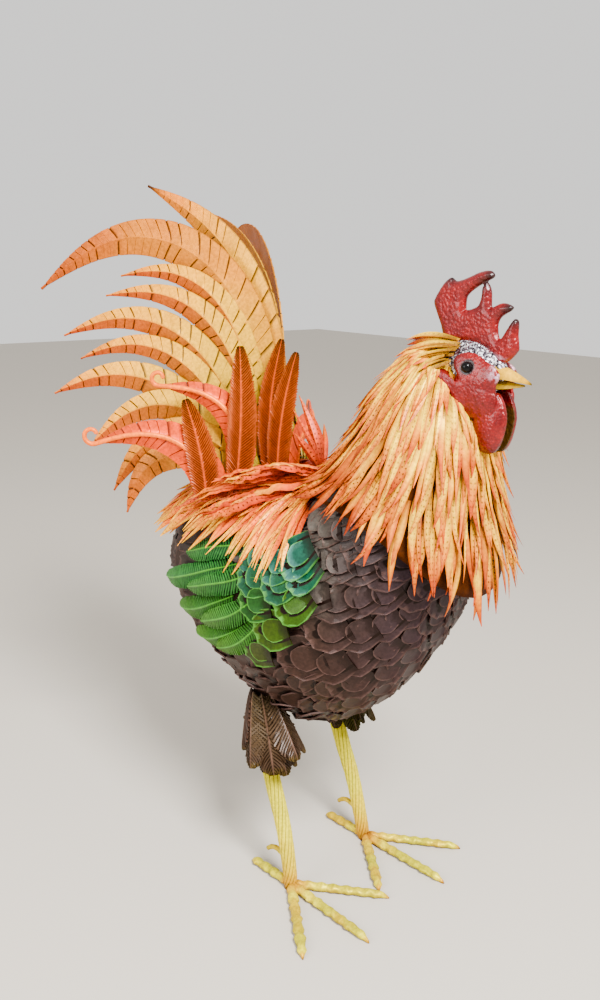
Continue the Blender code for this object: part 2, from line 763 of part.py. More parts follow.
def build_toe(side, word, name, heading, length):
    a = math.radians(heading)
    ahead = Vector((side * math.sin(a), -math.cos(a), 0.0))
    across = Vector((math.cos(a), side * math.sin(a), 0.0))
    hub = Vector((FOOT[side][0], FOOT[side][1], 0.0))
    root = 0.008
    steps = 6
    rings = []
    for k in range(steps + 1):
        f = k / steps
        reach = blend(root, length, f)
        wave = 1.0 + 0.10 * (1 if k % 2 else -1) * (1.0 if k < steps - 1 else 0.0)
        half = min(0.5 * TOE_WIDTH * wave, reach * math.tan(TOE_HALF_ANGLE))
        half *= 1.0 if f < 0.85 else blend(1.0, 0.35, (f - 0.85) / 0.15)
        high = TOE_HEIGHT * blend(1.0, 0.72, f) * (1.0 + 0.5 * (wave - 1.0))
        high *= 1.0 if f < 0.85 else blend(1.0, 0.45, (f - 0.85) / 0.15)
        centre = hub + ahead * reach
        rings.append([
            centre - across * half * 0.72,
            centre + across * half * 0.72,
            centre + across * half + Vector((0.0, 0.0, high * 0.5)),
            centre + across * half * 0.45 + Vector((0.0, 0.0, high)),
            centre - across * half * 0.45 + Vector((0.0, 0.0, high)),
            centre - across * half + Vector((0.0, 0.0, high * 0.5)),
        ])
    start = hub + ahead * root + Vector((0.0, 0.0, TOE_HEIGHT * 0.5))
    end = hub + ahead * (length + 0.003) + Vector((0.0, 0.0, 0.002))
    toe = solid(name + word, *loft(rings, start, end), YELLOW_PAINT)
    combine(toe, leg_tool(side), "DIFFERENCE")


SPUR_HEIGHT = 0.052
SPUR_LENGTH = 0.050


def build_spur(side, word):
    root = leg_point(side, 0.36)
    root.z = SPUR_HEIGHT
    ahead = Vector((0.0, 0.995, 0.10))
    above = Vector((0.0, -0.10, 0.995))
    rings = []
    for f, radius in ((0.0, 0.0062), (0.45, 0.0058), (0.8, 0.0042), (1.0, 0.0018)):
        centre = root + ahead * SPUR_LENGTH * f
        rings.append([
            centre + Vector((radius * math.cos(TURN * i / 6), 0.0, 0.0))
            + above * radius * math.sin(TURN * i / 6)
            for i in range(6)
        ])
    end = root + ahead * (SPUR_LENGTH + 0.001)
    spur = solid("spur" + word, *loft(rings, root, end), YELLOW_PAINT)
    combine(spur, leg_tool(side), "DIFFERENCE")


THIGH_LEAVES = 5
THIGH_FORWARD = 0.020   # the cluster's middle ahead of the bar
THIGH_TOP = 0.385
THIGH_HEM = 0.222
# level, radius and how far the tips reach below the notches
THIGH_RINGS = (
    (THIGH_TOP, 0.028, 0.0),
    (0.300, 0.040, 0.0),
    (0.255, 0.054, 0.004),
    (THIGH_HEM, 0.046, 0.016),
    (THIGH_HEM + 0.004, 0.040, 0.014),
    (0.258, 0.030, 0.0),
)


def build_thigh(side, word):
    rings = []
    count = 2 * THIGH_LEAVES
    for z, radius, reach in THIGH_RINGS:
        row = []
        for i in range(count):
            a = TURN * i / count
            pleat = 1.0 if i % 2 == 0 else 0.88
            level = z + (-reach if i % 2 == 0 else reach)
            y = FOOT[side][1] + 0.054 + LEG_LEAN[side] * 0.6 + (level - 0.196) * 0.35 - THIGH_FORWARD
            row.append(Vector((
                FOOT[side][0] + radius * pleat * 0.85 * math.cos(a),
                y + radius * pleat * math.sin(a),
                level,
            )))
        rings.append(row)
    start = sum(rings[0], Vector()) / count
    end = sum(rings[-1], Vector()) / count
    thigh = solid("thigh" + word, *loft(rings, start, end), THIGH_PAINT)
    combine(thigh, leg_tool(side), "DIFFERENCE")
    combine(thigh, body_tool(GAP), "DIFFERENCE")


def build_all():
    solid("body", *body_shape(0.0), SCALE_PAINT)
    sphere("skull", SKULL_CENTRE, SKULL_RADII, 12, 6, 0.0, SILVER_PAINT)

    cape = solid("neck_hackle", *hackle_shape(0.0), HACKLE_PAINT)
    combine(cape, body_tool(GAP), "DIFFERENCE")
    combine(cape, skull_tool(), "DIFFERENCE")

    build_comb()
    build_beak()
    for side, word in ((-1.0, "_right"), (1.0, "_left")):
        combine(cape, face_piece("tool", side, GAP, None), "DIFFERENCE")
        build_face(side, word)

        wing = feather_sheet("wing" + word, wing_place(side, 0.0), WING_ROWS, WING_FEATHERS, WING_PAINT)
        combine(wing, body_tool(GAP), "DIFFERENCE")
        combine(wing, solid("tool", *hackle_shape(GAP), None), "DIFFERENCE")

        saddle = feather_sheet(
            "saddle" + word, saddle_place(side, 0.0), SADDLE_ROWS, SADDLE_STRIPS, SADDLE_PAINT
        )
        combine(saddle, body_tool(GAP), "DIFFERENCE")
        combine(saddle, solid("tool", *hackle_shape(GAP), None), "DIFFERENCE")
        wing_tool = feather_sheet("tool", wing_place(side, GAP), WING_ROWS, WING_FEATHERS, None, SPREAD)
        combine(saddle, wing_tool, "DIFFERENCE")

        build_tail(side, word)
        if side < 0.0:
            build_leaves(side)

        leg = solid("leg" + word, *leg_shape(side, 0.0), YELLOW_PAINT)
        combine(leg, body_tool(GAP), "DIFFERENCE")
        for name, heading, length in TOES:
            if name == "toe_inner" and side > 0.0:
                length = LEFT_INNER_LENGTH
            build_toe(side, word, name, heading, length)
        build_spur(side, word)
        build_thigh(side, word)

    for piece in bpy.context.scene.objects:
        for vert in piece.data.vertices:
            vert.co.x += FEET_X
            vert.co.y += FEET_Y


build_all()
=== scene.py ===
import math
import random

import bpy
import bmesh
import numpy as np
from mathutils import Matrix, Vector, noise


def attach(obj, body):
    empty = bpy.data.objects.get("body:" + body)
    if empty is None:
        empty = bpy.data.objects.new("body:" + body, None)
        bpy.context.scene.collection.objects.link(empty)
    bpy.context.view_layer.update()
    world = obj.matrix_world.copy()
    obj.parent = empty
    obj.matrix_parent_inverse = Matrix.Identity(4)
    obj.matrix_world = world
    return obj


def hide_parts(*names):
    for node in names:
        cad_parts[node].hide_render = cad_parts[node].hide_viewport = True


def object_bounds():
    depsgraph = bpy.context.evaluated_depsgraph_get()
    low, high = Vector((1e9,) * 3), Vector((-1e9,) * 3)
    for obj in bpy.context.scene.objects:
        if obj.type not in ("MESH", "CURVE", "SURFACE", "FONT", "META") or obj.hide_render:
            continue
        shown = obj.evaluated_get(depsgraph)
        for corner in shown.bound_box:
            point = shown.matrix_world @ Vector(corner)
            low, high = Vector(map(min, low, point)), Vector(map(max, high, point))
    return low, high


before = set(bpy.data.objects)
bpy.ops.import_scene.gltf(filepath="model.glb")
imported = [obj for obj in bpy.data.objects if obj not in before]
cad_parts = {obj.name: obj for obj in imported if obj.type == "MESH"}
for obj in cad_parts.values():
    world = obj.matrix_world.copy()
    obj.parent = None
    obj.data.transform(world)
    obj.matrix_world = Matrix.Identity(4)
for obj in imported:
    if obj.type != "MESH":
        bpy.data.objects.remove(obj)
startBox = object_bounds()

# the rooster is laid out from the middle of its feet, then moved by this
feetShift = Vector((0.007, -0.126, 0.0))
turn = 2.0 * math.pi


# ---------- meshes ----------
def makePiece(name, verts, faces, values=None, smooth=True, sharp=None):
    mesh = bpy.data.meshes.new(name)
    mesh.from_pydata([tuple(v) for v in verts], [], [tuple(int(i) for i in f) for f in faces])
    for key, data in (values or {}).items():
        layer = mesh.attributes.new(key, "FLOAT", "POINT")
        layer.data.foreach_set("value", np.asarray(data, dtype=np.float32))
    piece = bpy.data.objects.new(name, mesh)
    bpy.context.scene.collection.objects.link(piece)
    finishMesh(piece, smooth, sharp)
    return piece


def finishMesh(piece, smooth=True, sharp=None):
    mesh = piece.data
    shape = bmesh.new()
    shape.from_mesh(mesh)
    bmesh.ops.remove_doubles(shape, verts=shape.verts, dist=1e-6)
    bmesh.ops.recalc_face_normals(shape, faces=shape.faces)
    shape.to_mesh(mesh)
    shape.free()
    if smooth:
        mesh.shade_smooth()
        if sharp:
            mesh.set_sharp_from_angle(angle=math.radians(sharp))


def handIn(piece, slot, material, *nodes):
    # moves the finished mesh to its place inside the model's box, gives it its material, hangs it under the root and
    # hides the model parts it stands for
    for vert in piece.data.vertices:
        vert.co += feetShift
        for k in range(3):
            vert.co[k] = min(max(vert.co[k], startBox[0][k]), startBox[1][k])
    piece.data.materials.clear()
    piece.data.materials.append(material)
    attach(piece, "root")
    if nodes:
        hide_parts(*nodes)


class Sheets:
    # gathers several sheets into one mesh
    def __init__(self):
        self.verts = []
        self.faces = []
        self.values = {}

    def add(self, verts, faces, values):
        base = len(self.verts)
        self.verts.extend(verts)
        self.faces.extend([[i + base for i in f] for f in faces])
        for key, data in values.items():
            self.values.setdefault(key, []).extend(data)

    def piece(self, name, **options):
        return makePiece(name, self.verts, self.faces, self.values, **options)


def unit(rows):
    return rows / np.maximum(np.linalg.norm(rows, axis=1, keepdims=True), 1e-9)


def pathFrames(centre, outHint):
    # centre line with its direction, sideways and outward vectors
    centre = np.asarray(centre, dtype=float)
    along = unit(np.gradient(centre, axis=0))
    outHint = np.asarray(outHint, dtype=float)
    if outHint.ndim == 1:
        outHint = np.repeat(outHint[None, :], len(centre), axis=0)
    across = unit(np.cross(outHint, along))
    out = unit(np.cross(along, across))
    reach = np.concatenate([[0.0], np.cumsum(np.linalg.norm(np.diff(centre, axis=0), axis=1))])
    return {"centre": centre, "along": along, "across": across, "out": out, "reach": reach}


def readAt(line, key, s):
    return np.stack([np.interp(s, line["reach"], line[key][:, k]) for k in range(3)], axis=-1)


def vane(line, look, widthRule, tint=0.5, seed=0):
    # a sheet feather: chevron rows follow its slits, with a raised midrib
    rng = np.random.default_rng(seed)
    total = line["reach"][-1]
    pitch = look["pitch"]
    count = max(3, int(total / pitch))
    marks = look["marks"]        # place in the pitch, height, how deep in the slit
    across = np.asarray(look["columns"])
    rowS = []
    rowHigh = []
    rowSlit = []
    for k in range(count):
        shift = pitch * look.get("uneven", 0.0) * (rng.random() - 0.5)
        for place, high, slit in marks:
            rowS.append((k + place) * total / count + shift)
            rowHigh.append(high)
            rowSlit.append(slit)
    rowS.append(total)
    rowHigh.append(0.0)
    rowSlit.append(0.0)
    tight = look.get("tight", 0.0)         # slits stand closer towards the tip
    rowS = np.asarray(rowS) / total
    rowS = total * ((1.0 + tight) * rowS - tight * rowS ** 2)
    rowS = np.maximum.accumulate(np.clip(rowS, 0.0, total))
    rowHigh = np.asarray(rowHigh)
    rowSlit = np.asarray(rowSlit)
    side = np.abs(across)
    halfRow = 0.5 * look["width"] * widthRule(rowS / total)
    flip = look.get("flip", 1.0)            # the upper side counts as positive across
    slant = look["slant"] * np.where(across * flip < 0.0, look.get("lowSlant", 1.0), 1.0)
    s = rowS[:, None] + (slant * side)[None, :] * halfRow[:, None]
    s = np.minimum(s, total)
    flat = s.reshape(-1)
    half = 0.5 * look["width"] * widthRule(flat / total)
    v = np.tile(across, len(rowS))
    cut = np.clip((np.abs(v) - look["ribGap"]) / 0.08, 0.0, 1.0)
    slit = np.repeat(rowSlit, len(across)) * cut
    high = np.repeat(rowHigh, len(across)) * cut
    ragged = 1.0 - look["notch"] * np.repeat(rowSlit, len(across)) * np.abs(v) ** 4
    ragged *= 1.0 + look.get("ragged", 0.0) * (np.repeat(rng.random(len(rowS)), len(across)) - 0.5) * np.abs(v)
    fold = look["fold"] * half / (0.5 * look["width"])
    bead = look["bead"] * np.exp(-(v / look["beadWide"]) ** 2) * np.clip(half / (0.3 * look["width"]), 0.3, 1.0)
    level = high - fold * np.abs(v) ** look.get("arch", 1.0) + bead
    centre = readAt(line, "centre", flat)
    wide = readAt(line, "across", flat)
    out = readAt(line, "out", flat)
    top = centre + wide * (v * half * ragged)[:, None] + out * level[:, None]
    low = centre + wide * (v * half * ragged)[:, None]
    low += out * (-fold * np.abs(v) - look["thick"])[:, None]
    verts = np.concatenate([top, low])
    rows = len(rowS)
    columns = len(across)
    size = rows * columns
    faces = []
    for j in range(rows - 1):
        for i in range(columns - 1):
            a = j * columns + i
            faces.append((a, a + 1, a + 1 + columns, a + columns))
            faces.append((size + a, size + a + columns, size + a + columns + 1, size + a + 1))
        for a, b in ((j * columns, (j + 1) * columns), ((j + 1) * columns - 1, (j + 2) * columns - 1)):
            faces.append((a, b, b + size, a + size))
    last = (rows - 1) * columns
    for i in range(columns - 1):
        faces.append((i, i + 1, i + 1 + size, i + size))
        faces.append((last + i, last + i + 1, last + i + 1 + size, last + i + size))
    values = {
        "along": np.tile(flat / total, 2).tolist(),
        "across": np.tile(v * flip, 2).tolist(),
        "slit": np.concatenate([slit, slit * 0.0]).tolist(),
        "tint": [tint] * (2 * size),
    }
    return [Vector(p) for p in verts], faces, values


def tube(points, radii, sides, tint=0.5, along=(0.0, 1.0)):
    # a round bar through the points, closed at both ends
    points = [Vector(p) for p in points]
    verts = []
    count = len(points)
    guide = None
    for k, p in enumerate(points):
        ahead = (points[min(k + 1, count - 1)] - points[max(k - 1, 0)]).normalized()
        if guide is None:
            guide = ahead.orthogonal().normalized()
        guide = (guide - ahead * guide.dot(ahead)).normalized()
        other = ahead.cross(guide)
        for i in range(sides):
            a = turn * i / sides
            verts.append(p + (guide * math.cos(a) + other * math.sin(a)) * radii[k])
    faces = []
    for k in range(count - 1):
        for i in range(sides):
            a = k * sides + i
            b = k * sides + (i + 1) % sides
            faces.append((a, b, b + sides, a + sides))
    verts.append(points[0] - (points[1] - points[0]).normalized() * radii[0] * 0.6)
    verts.append(points[-1] + (points[-1] - points[-2]).normalized() * radii[-1] * 0.6)
    first = len(verts) - 2
    last = (count - 1) * sides
    for i in range(sides):
        j = (i + 1) % sides
        faces.append((j, i, first))
        faces.append((last + i, last + j, first + 1))
    share = np.linspace(along[0], along[1], count)
    values = {
        "along": [float(share[k]) for k in range(count) for i in range(sides)] + [along[0], along[1]],
        "across": [0.0] * len(verts),
        "slit": [0.0] * len(verts),
        "tint": [tint] * len(verts),
    }
    return verts, faces, values


def smoothValue(table, t):
    t = min(max(t, 0.0), len(table) - 1.0)
    k = min(int(t), len(table) - 2)
    f = t - k
    a = table[max(k - 1, 0)]
    b = table[k]
    c = table[k + 1]
    d = table[min(k + 2, len(table) - 1)]
    row = []
    for p, q, r, s in zip(a, b, c, d):
        row.append(0.5 * (2 * q + (r - p) * f + (2 * p - 5 * q + 4 * r - s) * f * f
                          + (3 * q - p - 3 * r + s) * f ** 3))
    return row


def skin(table, t, angle, lift):
    frontY, frontZ, backY, backZ, half = smoothValue(table, t)
    alongY = backY - frontY
    alongZ = backZ - frontZ
    size = math.hypot(alongY, alongZ)
    reach = (0.5 * size + lift) * math.cos(angle) / size
    return Vector((
        (half + lift) * math.sin(angle),
        0.5 * (frontY + backY) + alongY * reach,
        0.5 * (frontZ + backZ) + alongZ * reach,
    ))


def blend(a, b, f):
    return a + (b - a) * f


def capeSkin(t, angle, lift):
    # the cape's surface, carried on over the back of the head above the first section
    if t >= 0.0:
        return skin(capeTable, t, angle, lift)
    return blend(skin(capeTable, 0.0, angle, lift), Vector((0.0, -0.196, 0.930 + lift)), -t)


# ---------- shader building ----------
def tone(red, green, blue):
    # picture colour 0-255 to scene colour; bright and rich ones are raised as the view softens them
    row = []
    for c in (red, green, blue):
        c /= 255.0
        c = c / 12.92 if c <= 0.04045 else ((c + 0.055) / 1.055) ** 2.4
        row.append(c * (1.0 + 2.7 * c ** 3.8))
    grey = 0.21 * row[0] + 0.72 * row[1] + 0.07 * row[2]
    return tuple(min(0.95, max(0.0, 0.30 * (grey + (c - grey) * 1.24))) for c in row) + (1.0,)


def add(tree, kind, settings=None, **inputs):
    node = tree.nodes.new(kind)
    for key, value in (settings or {}).items():
        setattr(node, key, value)
    for key, value in inputs.items():
        index = int(key[1:]) if key[0] == "i" and key[1:].isdigit() else key.replace("_", " ")
        if isinstance(value, bpy.types.NodeSocket):
            tree.links.new(value, node.inputs[index])
        else:
            node.inputs[index].default_value = value
    return node


def ramp(tree, fac, stops, mode="LINEAR"):
    node = add(tree, "ShaderNodeValToRGB", None, Fac=fac)
    node.color_ramp.interpolation = mode
    while len(node.color_ramp.elements) < len(stops):
        node.color_ramp.elements.new(0.5)
    for element, (place, colour) in zip(node.color_ramp.elements, stops):
        element.position = place
        element.color = colour
    return node.outputs["Color"]


def attribute(tree, name):
    return add(tree, "ShaderNodeAttribute", {"attribute_name": name}).outputs["Fac"]


def calc(tree, operation, a, b=0.5, clamp=False):
    return add(tree, "ShaderNodeMath", {"operation": operation, "use_clamp": clamp}, i0=a, i1=b).outputs[0]


def ranged(tree, value, low, high, outLow=0.0, outHigh=1.0):
    return add(tree, "ShaderNodeMapRange", None, i0=value, i1=low, i2=high, i3=outLow, i4=outHigh).outputs[0]


def mixColour(tree, fac, a, b, mode="MIX"):
    node = add(tree, "ShaderNodeMix", {"data_type": "RGBA", "blend_type": mode})
    for index, value in ((0, fac), (6, a), (7, b)):
        if isinstance(value, bpy.types.NodeSocket):
            tree.links.new(value, node.inputs[index])
        else:
            node.inputs[index].default_value = value
    return node.outputs[2]


def objectNoise(tree, scale, detail=3.0, stretch=None):
    place = add(tree, "ShaderNodeTexCoord").outputs["Object"]
    if stretch:
        place = add(tree, "ShaderNodeMapping", None, Vector=place, Scale=stretch).outputs[0]
    return add(tree, "ShaderNodeTexNoise", None, Vector=place, Scale=scale, Detail=detail).outputs[0]


def wornGroup():
    # grime in patches, rubbed lighter spots and fine scratches over a painted colour, and the dark of slits and of
    # painted shade and shadow fed in through Slit
    group = bpy.data.node_groups.new("wornPaint", "ShaderNodeTree")
    face = group.interface
    face.new_socket("Color", in_out="INPUT", socket_type="NodeSocketColor")
    for name, value in (("Grime", 0.4), ("Rub", 0.3), ("Rough", 0.4), ("Slit", 0.0)):
        face.new_socket(name, in_out="INPUT", socket_type="NodeSocketFloat").default_value = value
    face.new_socket("Color", in_out="OUTPUT", socket_type="NodeSocketColor")
    face.new_socket("Roughness", in_out="OUTPUT", socket_type="NodeSocketFloat")
    face.new_socket("Height", in_out="OUTPUT", socket_type="NodeSocketFloat")
    start = add(group, "NodeGroupInput")
    patch = ranged(group, objectNoise(group, 26.0, 5.0), 0.45, 0.75)
    fine = objectNoise(group, 210.0, 4.0)
    rub = ranged(group, objectNoise(group, 60.0, 5.0), 0.56, 0.70)
    dirt = calc(group, "MULTIPLY", patch, start.outputs["Grime"])
    worn = calc(group, "MULTIPLY", rub, start.outputs["Rub"])
    colour = mixColour(group, dirt, start.outputs["Color"], tone(70, 40, 24), "MIX")
    light = mixColour(group, 1.0, start.outputs["Color"], (1.9, 1.75, 1.6, 1.0), "MULTIPLY")
    colour = mixColour(group, worn, colour, light)
    speck = ranged(group, fine, 0.35, 0.65, 0.80, 1.15)
    grey = add(group, "ShaderNodeCombineColor", None, i0=speck, i1=speck, i2=speck).outputs[0]
    colour = mixColour(group, 1.0, colour, grey, "MULTIPLY")
    # dark slits, with painted shade and shadow, mixed in towards a dark brown
    colour = mixColour(group, start.outputs["Slit"], colour, tone(38, 20, 12))
    rough = calc(group, "ADD", start.outputs["Rough"], calc(group, "MULTIPLY", patch, 0.18))
    rough = calc(group, "ADD", rough, calc(group, "MULTIPLY", fine, 0.12), True)
    height = calc(group, "ADD", calc(group, "MULTIPLY", fine, 0.25), calc(group, "MULTIPLY", rub, 0.4))
    end = add(group, "NodeGroupOutput")
    for socket, value in ((0, colour), (1, rough), (2, height)):
        group.links.new(value, end.inputs[socket])
    return group


def hammerGroup():
    # close shallow hammer marks for the red and yellow bar work
    group = bpy.data.node_groups.new("hammerMarks", "ShaderNodeTree")
    face = group.interface
    face.new_socket("Scale", in_out="INPUT", socket_type="NodeSocketFloat").default_value = 150.0
    face.new_socket("Height", in_out="OUTPUT", socket_type="NodeSocketFloat")
    face.new_socket("Edge", in_out="OUTPUT", socket_type="NodeSocketFloat")
    start = add(group, "NodeGroupInput")
    place = add(group, "ShaderNodeTexCoord").outputs["Object"]
    cells = add(group, "ShaderNodeTexVoronoi", {"feature": "SMOOTH_F1"}, Vector=place,
                Scale=start.outputs["Scale"]).outputs["Distance"]
    edge = add(group, "ShaderNodeTexVoronoi", {"feature": "DISTANCE_TO_EDGE"}, Vector=place,
               Scale=start.outputs["Scale"]).outputs["Distance"]
    end = add(group, "NodeGroupOutput")
    group.links.new(cells, end.inputs[0])
    group.links.new(ranged(group, edge, 0.0, 0.25, 1.0, 0.0), end.inputs[1])
    return group


worn = wornGroup()
hammer = hammerGroup()


def newMaterial(name, build, metallic=0.3, coat=0.0, bump=0.0006, shine=0.07):
    # build(tree) gives colour, grime, rub, roughness, slit marks with painted shade and shadow, and an extra height
    material = bpy.data.materials.new(name)
    material.use_nodes = True
    tree = material.node_tree
    shader = tree.nodes["Principled BSDF"]
    shader.inputs["Metallic"].default_value = metallic
    shader.inputs["Coat Weight"].default_value = coat
    shader.inputs["Coat Roughness"].default_value = 0.2
    shader.inputs["Specular IOR Level"].default_value = shine
    made = build(tree)
    group = add(tree, "ShaderNodeGroup", {"node_tree": worn})
    for key, value in (("Color", made["colour"]), ("Grime", made.get("grime", 0.4)),
                       ("Rub", made.get("rub", 0.3)), ("Rough", made.get("rough", 0.4)),
                       ("Slit", made.get("slit", 0.0))):
        if isinstance(value, bpy.types.NodeSocket):
            tree.links.new(value, group.inputs[key])
        else:
            group.inputs[key].default_value = value
    height = group.outputs["Height"]
    if "height" in made:
        height = calc(tree, "ADD", height, made["height"])
    lump = add(tree, "ShaderNodeBump", None, Strength=0.8, Distance=bump, Height=height)
    tree.links.new(group.outputs["Color"], shader.inputs["Base Color"])
    tree.links.new(group.outputs["Roughness"], shader.inputs["Roughness"])
    tree.links.new(lump.outputs["Normal"], shader.inputs["Normal"])
    return material


def sicklePaint(tree):
    along = attribute(tree, "along")
    across = attribute(tree, "across")
    tint = attribute(tree, "tint")
    shift = calc(tree, "MULTIPLY", calc(tree, "SUBTRACT", objectNoise(tree, 9.0, 2.0), 0.5), 0.35)
    place = calc(tree, "ADD", along, shift)
    upper = ramp(tree, place, [
        (0.00, tone(200, 186, 20)), (0.25, tone(228, 212, 0)), (0.55, tone(236, 214, 36)),
        (0.80, tone(238, 210, 64)), (1.00, tone(226, 166, 40))])
    lower = ramp(tree, place, [
        (0.00, tone(168, 150, 20)), (0.25, tone(210, 176, 36)), (0.50, tone(220, 168, 54)),
        (0.80, tone(220, 146, 56)), (1.00, tone(206, 106, 40))])
    orange = ramp(tree, place, [
        (0.00, tone(200, 176, 20)), (0.25, tone(228, 204, 0)), (0.50, tone(230, 192, 10)),
        (0.75, tone(220, 158, 10)), (1.00, tone(212, 128, 10))])
    peach = ramp(tree, place, [
        (0.00, tone(220, 176, 40)), (0.30, tone(228, 192, 30)), (0.65, tone(236, 212, 70)),
        (0.92, tone(236, 190, 100)), (1.00, tone(120, 70, 36))])
    # upper vane paler, lower vane deeper orange: two-tone paint, with painted shade on the lower vane, which faces
    # down
    half = ranged(tree, across, -0.05, 0.12)
    colour = mixColour(tree, half, lower, upper)
    colour = mixColour(tree, ranged(tree, tint, 0.0, 0.5), colour, orange)
    colour = mixColour(tree, ranged(tree, tint, 0.5, 1.0), colour, peach)
    rim = ranged(tree, calc(tree, "ABSOLUTE", across), 0.95, 1.0, 0.0, 0.40)
    slit = calc(tree, "MAXIMUM", attribute(tree, "slit"), rim)
    return {"colour": colour, "grime": 0.18, "rub": 0.08, "rough": 0.36,
            "slit": calc(tree, "MULTIPLY", slit, 0.92)}


def curlPaint(tree):
    along = attribute(tree, "along")
    across = attribute(tree, "across")
    base = ramp(tree, calc(tree, "ADD", along, calc(tree, "MULTIPLY", objectNoise(tree, 14.0, 2.0), 0.2)), [
        (0.00, tone(210, 118, 24)), (0.35, tone(236, 144, 36)), (0.70, tone(234, 134, 36)),
        (1.00, tone(214, 110, 40))])
    rib = ranged(tree, calc(tree, "ABSOLUTE", across), 0.05, 0.16, 0.9, 0.0)
    colour = mixColour(tree, rib, base, tone(246, 190, 110))
    return {"colour": colour, "grime": 0.25, "rub": 0.15, "rough": 0.34,
            "slit": calc(tree, "MULTIPLY", attribute(tree, "slit"), 0.85)}


def leafPaint(tree):
    along = attribute(tree, "along")
    across = attribute(tree, "across")
    base = ramp(tree, along, [
        (0.00, tone(190, 92, 40)), (0.35, tone(204, 112, 44)), (0.75, tone(212, 126, 48)),
        (0.95, tone(190, 110, 40)), (1.00, tone(110, 74, 34))])
    rib = ranged(tree, calc(tree, "ABSOLUTE", across), 0.02, 0.09, 0.8, 0.0)
    colour = mixColour(tree, rib, base, tone(236, 150, 84))
    return {"colour": colour, "grime": 0.30, "rub": 0.12, "rough": 0.38,
            "slit": calc(tree, "MULTIPLY", attribute(tree, "slit"), 0.85)}


looks = {
    "sickle": newMaterial("sickle_paint", sicklePaint, 0.25, 0.05),
    "curl": newMaterial("curl_paint", curlPaint, 0.25, 0.05),
    "leaf": newMaterial("leaf_paint", leafPaint, 0.25, 0.05),
}
print("materials made")


# ---------- tail ----------
tail = {
    "root": (0.165, 0.690), "rootAngle": 86.0, "rootBack": 0.034,
    # name, root x, splay, launch, bend, power, length, width
    "sickles": (
        ("tail_top", 0.0120, 10.0, 89.0, 67.0, 1.15, 0.607, 0.066),
        ("tail_sickle", 0.0210, 24.0, 86.0, 123.0, 1.20, 0.747, 0.074),
        ("tail_cover_1", 0.0285, 25.0, 80.0, 92.0, 1.70, 0.498, 0.052),
        ("tail_cover_2", 0.0360, 26.0, 77.0, 87.0, 1.45, 0.479, 0.052),
        ("tail_cover_3", 0.0435, 27.0, 68.0, 91.0, 1.27, 0.509, 0.054),
        ("tail_cover_4", 0.0510, 28.0, 60.0, 84.0, 1.45, 0.431, 0.048),
        ("tail_cover_5", 0.0585, 29.0, 47.0, 73.0, 1.30, 0.435, 0.056),
        ("tail_cover_6", 0.0660, 30.0, 55.0, 101.0, 1.00, 0.363, 0.054),
        ("tail_cover_7", 0.0735, 31.0, 50.0, 112.0, 0.85, 0.316, 0.050),
        ("tail_cover_8", 0.0810, 32.0, 20.0, 96.0, 1.20, 0.274, 0.050),
    ),
    "leftTop": (73.0, 0.585),
    # name, root x, splay, launch, bend, length, width, base in the feather's plane
    "leaves": (
        ("tail_leaf_1", 0.1127, 30.0, 95.0, 8.0, 0.236, 0.052, (-0.017, -0.020)),
        ("tail_leaf_2", 0.1160, 50.0, 84.0, 12.0, 0.172, 0.050, (0.030, -0.040)),
        ("tail_leaf_3", 0.0786, 46.4, 92.0, -12.0, 0.208, 0.042, (-0.058, 0.000)),
        ("tail_leaf_4", 0.0681, 46.4, 85.0, -17.0, 0.222, 0.042, (-0.0413, 0.005)),
    ),
    # the same, with the roll's radius before the width
    "curls": {
        -1.0: (
            ("tail_curl_upper", 0.0890, 44.0, 100.0, 98.0, 0.236, 0.013, 0.046, (0.0, 0.0)),
            ("tail_curl_lower", 0.1000, 50.0, 79.0, 97.0, 0.264, 0.015, 0.056, (0.03, -0.05)),
        ),
        1.0: (
            ("tail_curl_upper", 0.0820, 62.0, 88.0, 150.0, 0.200, 0.018, 0.046, (-0.075, -0.008)),
            ("tail_curl_lower", 0.1000, 40.0, 79.0, 97.0, 0.264, 0.015, 0.056, (0.055, -0.055)),
        ),
    },
}


def sickleWidth(f):
    grow = 0.42 + 0.58 * np.minimum(1.0, f / 0.36) ** 0.9
    taper = np.where(f < 0.50, 1.0, 1.0 - (np.maximum(f - 0.50, 0.0) / 0.50) ** 1.9)
    return grow * np.maximum(taper, 0.06)


def leafWidth(f):
    return 0.16 + 0.84 * np.sin(np.pi * np.minimum(1.0, f * 0.95 + 0.05)) ** 0.65


def curlWidth(f):
    grow = 0.45 + 0.55 * np.minimum(1.0, f / 0.25)
    taper = np.where(f < 0.50, 1.0, 1.0 - (np.maximum(f - 0.50, 0.0) / 0.50) ** 1.5)
    return grow * np.maximum(taper, 0.10)


def planeLine(side, rootX, splay, launch, bend, power, length, base, roll=0.0):
    # centre line in the feather's own upright plane, with a roll at its tip if asked
    count = int(length / 0.002)
    f = (np.arange(count) + 0.5) / count
    angle = np.radians(launch - bend * np.sin(0.5 * np.pi * f ** power) ** 2)
    r = base[0] + np.concatenate([[0.0], np.cumsum(np.cos(angle))]) * length / count
    z = base[1] + np.concatenate([[0.0], np.cumsum(np.sin(angle))]) * length / count
    r = r + (base[0] - r[0])
    z = z + (base[1] - z[0])
    steep = math.radians(tail["rootAngle"])
    back = np.linspace(tail["rootBack"], 0.002, 14)
    r = np.concatenate([base[0] - back * math.cos(steep), r])
    z = np.concatenate([base[1] - back * math.sin(steep), z])
    rolled = []
    if roll:
        heading = angle[-1]
        pr, pz = r[-1], z[-1]
        steps = 34
        for k in range(steps):
            small = roll * (1.0 - 0.50 * k / steps)
            step = math.radians(275.0) / steps
            heading += step
            pr += math.cos(heading) * small * step
            pz += math.sin(heading) * small * step
            rolled.append((pr, pz))
    a = math.radians(splay)
    back = np.array((side * math.sin(a), math.cos(a), 0.0))
    outward = np.array((side * math.cos(a), -math.sin(a), 0.0))
    root = np.array((side * rootX, tail["root"][0], tail["root"][1]))
    up = np.array((0.0, 0.0, 1.0))
    centre = root + np.outer(r, back) + np.outer(z, up)
    line = pathFrames(centre, outward)
    rolled = [root + back * p + up * q for p, q in rolled]
    return line, rolled, outward


